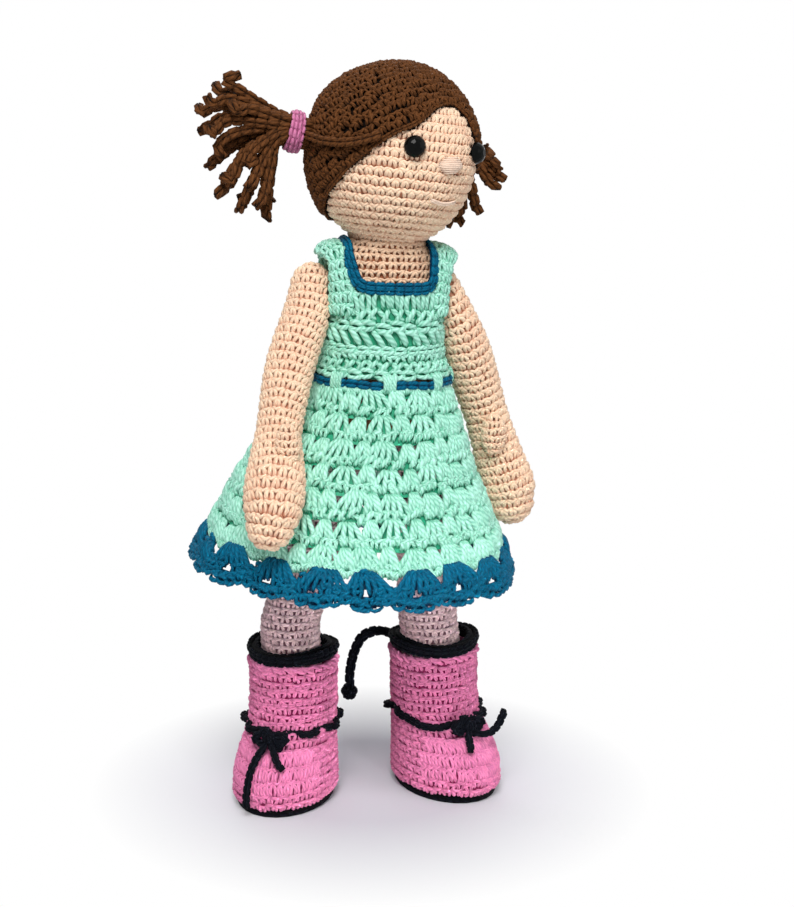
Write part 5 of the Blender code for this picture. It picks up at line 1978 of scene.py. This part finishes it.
        shaft = work.rows(
            form, 0.0003, form.top, 0.0037, 0.0044, 0.0010, 0.5, lambda p: ~toe(p, self.toe_overlap)
        )
        work.lay(mesh, shaft, SINGLE_LIGHT, 0.08)
        work.lay(mesh, work.rows(form, 0.0072, 0.0254, 0.0060, 0.0036, 0.0009, 0.5, toe), TALL, 0.05)
        turns = np.arange(self.rim_stitches) / self.rim_stitches
        rim = Laying(form, turns, form.top - 0.0034, 1 / self.rim_stitches, 0.0036, 0.0014, 0.0028)
        work.lay(mesh, [rim], SLANTED[:1], 0.1)
        for start, end, first, last in self.ridges:
            angles = np.linspace(first, last, 40)
            route = self.wall(angles, np.linspace(start, end, 40), 0.0001)
            self.belt(work, mesh, side, angles, route, 0.0017, 2.0)
        node = f"boot_upper_{side.word}"
        crocheted(node, "torso", BOOT, core_of(node, 0.0010), mesh)

    def sole(self, work: Needlework, side: Side) -> None:
        """The navy sole with a chain round its edge."""
        mesh, angles = YarnMesh(), circle(90)
        self.belt(work, mesh, side, angles, self.wall(angles, 0.0018, -0.0022), 0.0032, 1.1)
        node = f"boot_sole_{side.word}"
        crocheted(node, "torso", NAVY, core_of(node, 0.0), mesh)

    def cuff(self, work: Needlework, side: Side) -> None:
        """The navy rolled cuff."""
        mesh, angles = YarnMesh(), circle(90)
        for height, off, facing in self.cuff_rows:
            route = self.wall(angles, self.height, off)
            route[:, 2] = height - 0.0011 * np.cos(2 * angles + 0.5)
            self.belt(work, mesh, side, angles, route, 0.0031, 1.2, rise=0.3, facing=facing)
        node = f"boot_cuff_{side.word}"
        crocheted(node, "torso", NAVY, core_of(node, 0.0003), mesh)

    def lace(self, work: Needlework, side: Side) -> None:
        """The lace that weaves in and out round the ankle, slack on the left boot's front."""
        mesh, angles = YarnMesh(), circle(160)
        offs = 0.0006 + 0.0020 * np.sin(angles * 9 + 1.2)
        slack = np.zeros(160)
        if side is Side.LEFT:
            front = np.exp(-((angles - 2 * math.pi + 0.75) / 0.55) ** 2)
            offs = offs * (1 - front) + 0.0030 * front
            slack = 0.0030 * np.exp(-((angles - 2 * math.pi + 1.6) / 0.5) ** 2) - 0.0012 * front
        route = self.wall(angles, self.lace_height + slack, offs)
        self.belt(work, mesh, side, angles, route, self.cord, 1.0, both=True)
        settle(mesh.build(f"lace_{side.word}_chain", NAVY), "torso", NAVY, f"lace_{side.word}")

    def bow(self, work: Needlework, side: Side) -> None:
        """The knot and its loops, of the same chain as the lace."""
        here, mesh = STANCE.boot(side), YarnMesh()
        front = self.wall(0.0, self.lace_height, 0.0056)
        for reach, high, turn in self.bow_loops:
            steps = circle(24)
            x, z = reach * (1 - np.cos(steps)) * 0.5 + 0.0012, high * np.sin(steps)
            across = x * math.cos(turn) - z * math.sin(turn)
            up = x * math.sin(turn) + z * math.cos(turn)
            loop = np.column_stack((across, -0.0008 * np.sin(steps / 2), up))
            work.chain(mesh, placed(front + loop, here), turned((0, -1.0, 0), here), 0.0035, 1.0)
        steps = circle(16)
        knot = np.column_stack(
            (0.0012 * np.cos(steps), -0.0022 - 0.0006 * np.cos(steps), 0.0024 * np.sin(steps))
        )
        work.chain(mesh, placed(front + knot, here), turned((0, -1.0, 0), here), 0.0032, 1.0)
        settle(mesh.build(f"bow_{side.word}_loops", NAVY), "torso", NAVY, f"bow_{side.word}")

    def ends(self, work: Needlework, side: Side) -> None:
        """The lace's two loose ends."""
        here = STANCE.boot(side)
        for length in ("long", "short"):
            mesh = YarnMesh()
            world = placed(smooth_line(self.loose[length, side], 24), here)
            work.chain(mesh, world, turned((0, -1.0, 0.3), here), self.cord, 1.0)
            name = f"lace_end_{length}_{side.word}"
            end = settle(mesh.build(f"{name}_chain", NAVY), "torso", NAVY, name)

    def pull(self, work: Needlework, side: Side) -> None:
        """The pull cord behind the cuff, with its knob."""
        here, mesh = STANCE.boot(side), YarnMesh()
        world = placed(smooth_line(self.pulls[side], 30), here)
        work.chain(mesh, world, turned((-1.0, 0, 0.3), here), self.pull_cord, 0.9)
        cord = mesh.build(f"pull_cord_{side.word}_chain", NAVY)
        settle(cord, "torso", NAVY, f"pull_cord_{side.word}")
        node, mesh = f"pull_knob_{side.word}", YarnMesh()
        wide, tall = self.knob_half
        rise = np.radians(np.linspace(-85, 85, 16))
        centres = np.array(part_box(node)).mean(axis=0) + upright(tall * np.sin(rise))
        form = Form(ovals(centres, wide * np.cos(rise), wide * np.cos(rise), 32))
        work.lay(mesh, work.rows(form, 0.0, form.top, 0.0028, 0.0030, 0.0006, 0.5), SINGLE)
        knob = crocheted(node, "torso", NAVY, core_of(node, 0.0006), mesh)


@dataclass(frozen=True)
class Lamp:
    """One soft lamp: where it is, how wide and how strong."""

    name: str
    place: Place
    size: float
    power: float
    colour: Colour
    aim: Place = (0.0, 0.0, 0.18)
    spread: float = 180.0


@dataclass
class Studio:
    """A pale floor, soft lamps and the camera."""

    target: Place = (0.0, 0.0, 0.18)
    place: Place = (-0.16354, -0.76941, 0.32579)
    lens: float = 68.65
    shift: tuple[float, float] = (0.0364, -0.0468)
    lamps: tuple[Lamp, ...] = (
        Lamp("key", (-0.30, -1.05, 1.45), 0.65, 24.5, (1.0, 0.985, 0.96)),
        Lamp("fill", (1.00, -0.90, 0.60), 0.9, 2.6, (0.96, 0.98, 1.0)),
        Lamp("low", (0.25, -1.30, 0.20), 0.16, 0.056, (1.0, 1.0, 1.0), (0.0, 0.0, 0.042), 9.0),
        Lamp("back", (0.10, 1.00, 1.20), 1.0, 8.0, (1.0, 1.0, 1.0)),
    )
    world: float = 0.22
    # Where the floor starts to turn white, how fast it does, and how white it is before that
    shade_start: float = 0.05
    shade_slope: float = 12.0
    shade_least: float = 0.02

    def build(self) -> None:
        """Makes the stage, the lamps and the camera."""
        self.floor()
        self.light()
        self.camera()

    def floor(self) -> None:
        """A wide floor that shows white and keeps the doll's shadow."""
        bpy.ops.object.select_all(action="DESELECT")
        bpy.ops.mesh.primitive_plane_add(size=12, location=(0, 0, -0.0002))
        floor = bpy.context.active_object
        floor.name = "floor"
        made = Shading(bpy.data.materials.new("floor_white"))
        made.fix(Roughness=0.9, Specular_IOR_Level=0.1)
        glow = made.node("ShaderNodeEmission", None, {"Color": (1, 1, 1, 1), "Strength": 1.0})
        place = made.node("ShaderNodeTexCoord", None, None, "Object")
        away = made.node("ShaderNodeVectorMath", {"operation": "LENGTH"}, {0: place}, "Value")
        far = (
            (away - self.shade_start) * self.shade_slope
        ).clamped() * (1 - self.shade_least) + self.shade_least
        camera, seen = made.seen()
        # The camera sees the floor a little darker and bluer than the light does: painted shade that tints
        # the doll's shadow
        made.feed(Base_Color=made.mix(camera, (0.72, 0.72, 0.73), (0.66, 0.66, 0.73)))
        both = made.node(
            "ShaderNodeMixShader", None, {0: seen * far, 1: Value(made, made.shader.outputs[0]), 2: glow}
        )
        out = next(n for n in made.tree.nodes if n.type == "OUTPUT_MATERIAL")
        made.tree.links.new(both.socket, out.inputs["Surface"])
        floor.data.materials.append(made.owner)

    def light(self) -> None:
        """The lamps, and a world that is white to the camera and grey to the doll."""
        for lamp in self.lamps:
            data = bpy.data.lights.new(lamp.name, "AREA")
            data.energy, data.size, data.color = lamp.power, lamp.size, lamp.colour
            data.spread = math.radians(lamp.spread)
            made = bpy.data.objects.new(lamp.name, data)
            made.location = lamp.place
            aim = Vector(lamp.aim) - Vector(lamp.place)
            made.rotation_euler = aim.to_track_quat("-Z", "Y").to_euler()
            bpy.context.scene.collection.objects.link(made)
        sky = Shading(bpy.data.worlds.new("studio"))
        bpy.context.scene.world = sky.owner
        _, seen = sky.seen()
        sky.fix(Color=(1, 1, 1, 1))
        sky.feed(Strength=seen * (1 - self.world) + self.world)

    def camera(self) -> None:
        """The camera at the photograph's viewing angle."""
        root = STANCE.root()
        data = bpy.data.cameras.new("camera")
        data.sensor_width = 36.0
        data.lens = self.lens
        data.shift_x, data.shift_y = self.shift
        data.clip_start, data.clip_end = 0.05, 20.0
        made = bpy.data.objects.new("camera", data)
        bpy.context.scene.collection.objects.link(made)
        made.location = root @ Vector(self.place)
        made.rotation_euler = (root @ Vector(self.target) - made.location).to_track_quat("-Z", "Y").to_euler()
        bpy.context.scene.camera = made


def main() -> None:
    """Dresses the frame from head to toe and sets the studio."""
    logging.basicConfig(level=logging.INFO, format="%(message)s")
    bpy.context.scene.view_settings.view_transform = "Standard"
    Studio().build()
    work = Needlework(SEED)
    torso = Torso()
    Boots().build(work)
    Legs().build(work)
    torso.build(work)
    Head().build(work)
    Arms().build(work)
    Bodice(torso).build(work)
    Skirt().build(work)
    bpy.context.view_layer.update()


if __name__ == "__main__":
    main()
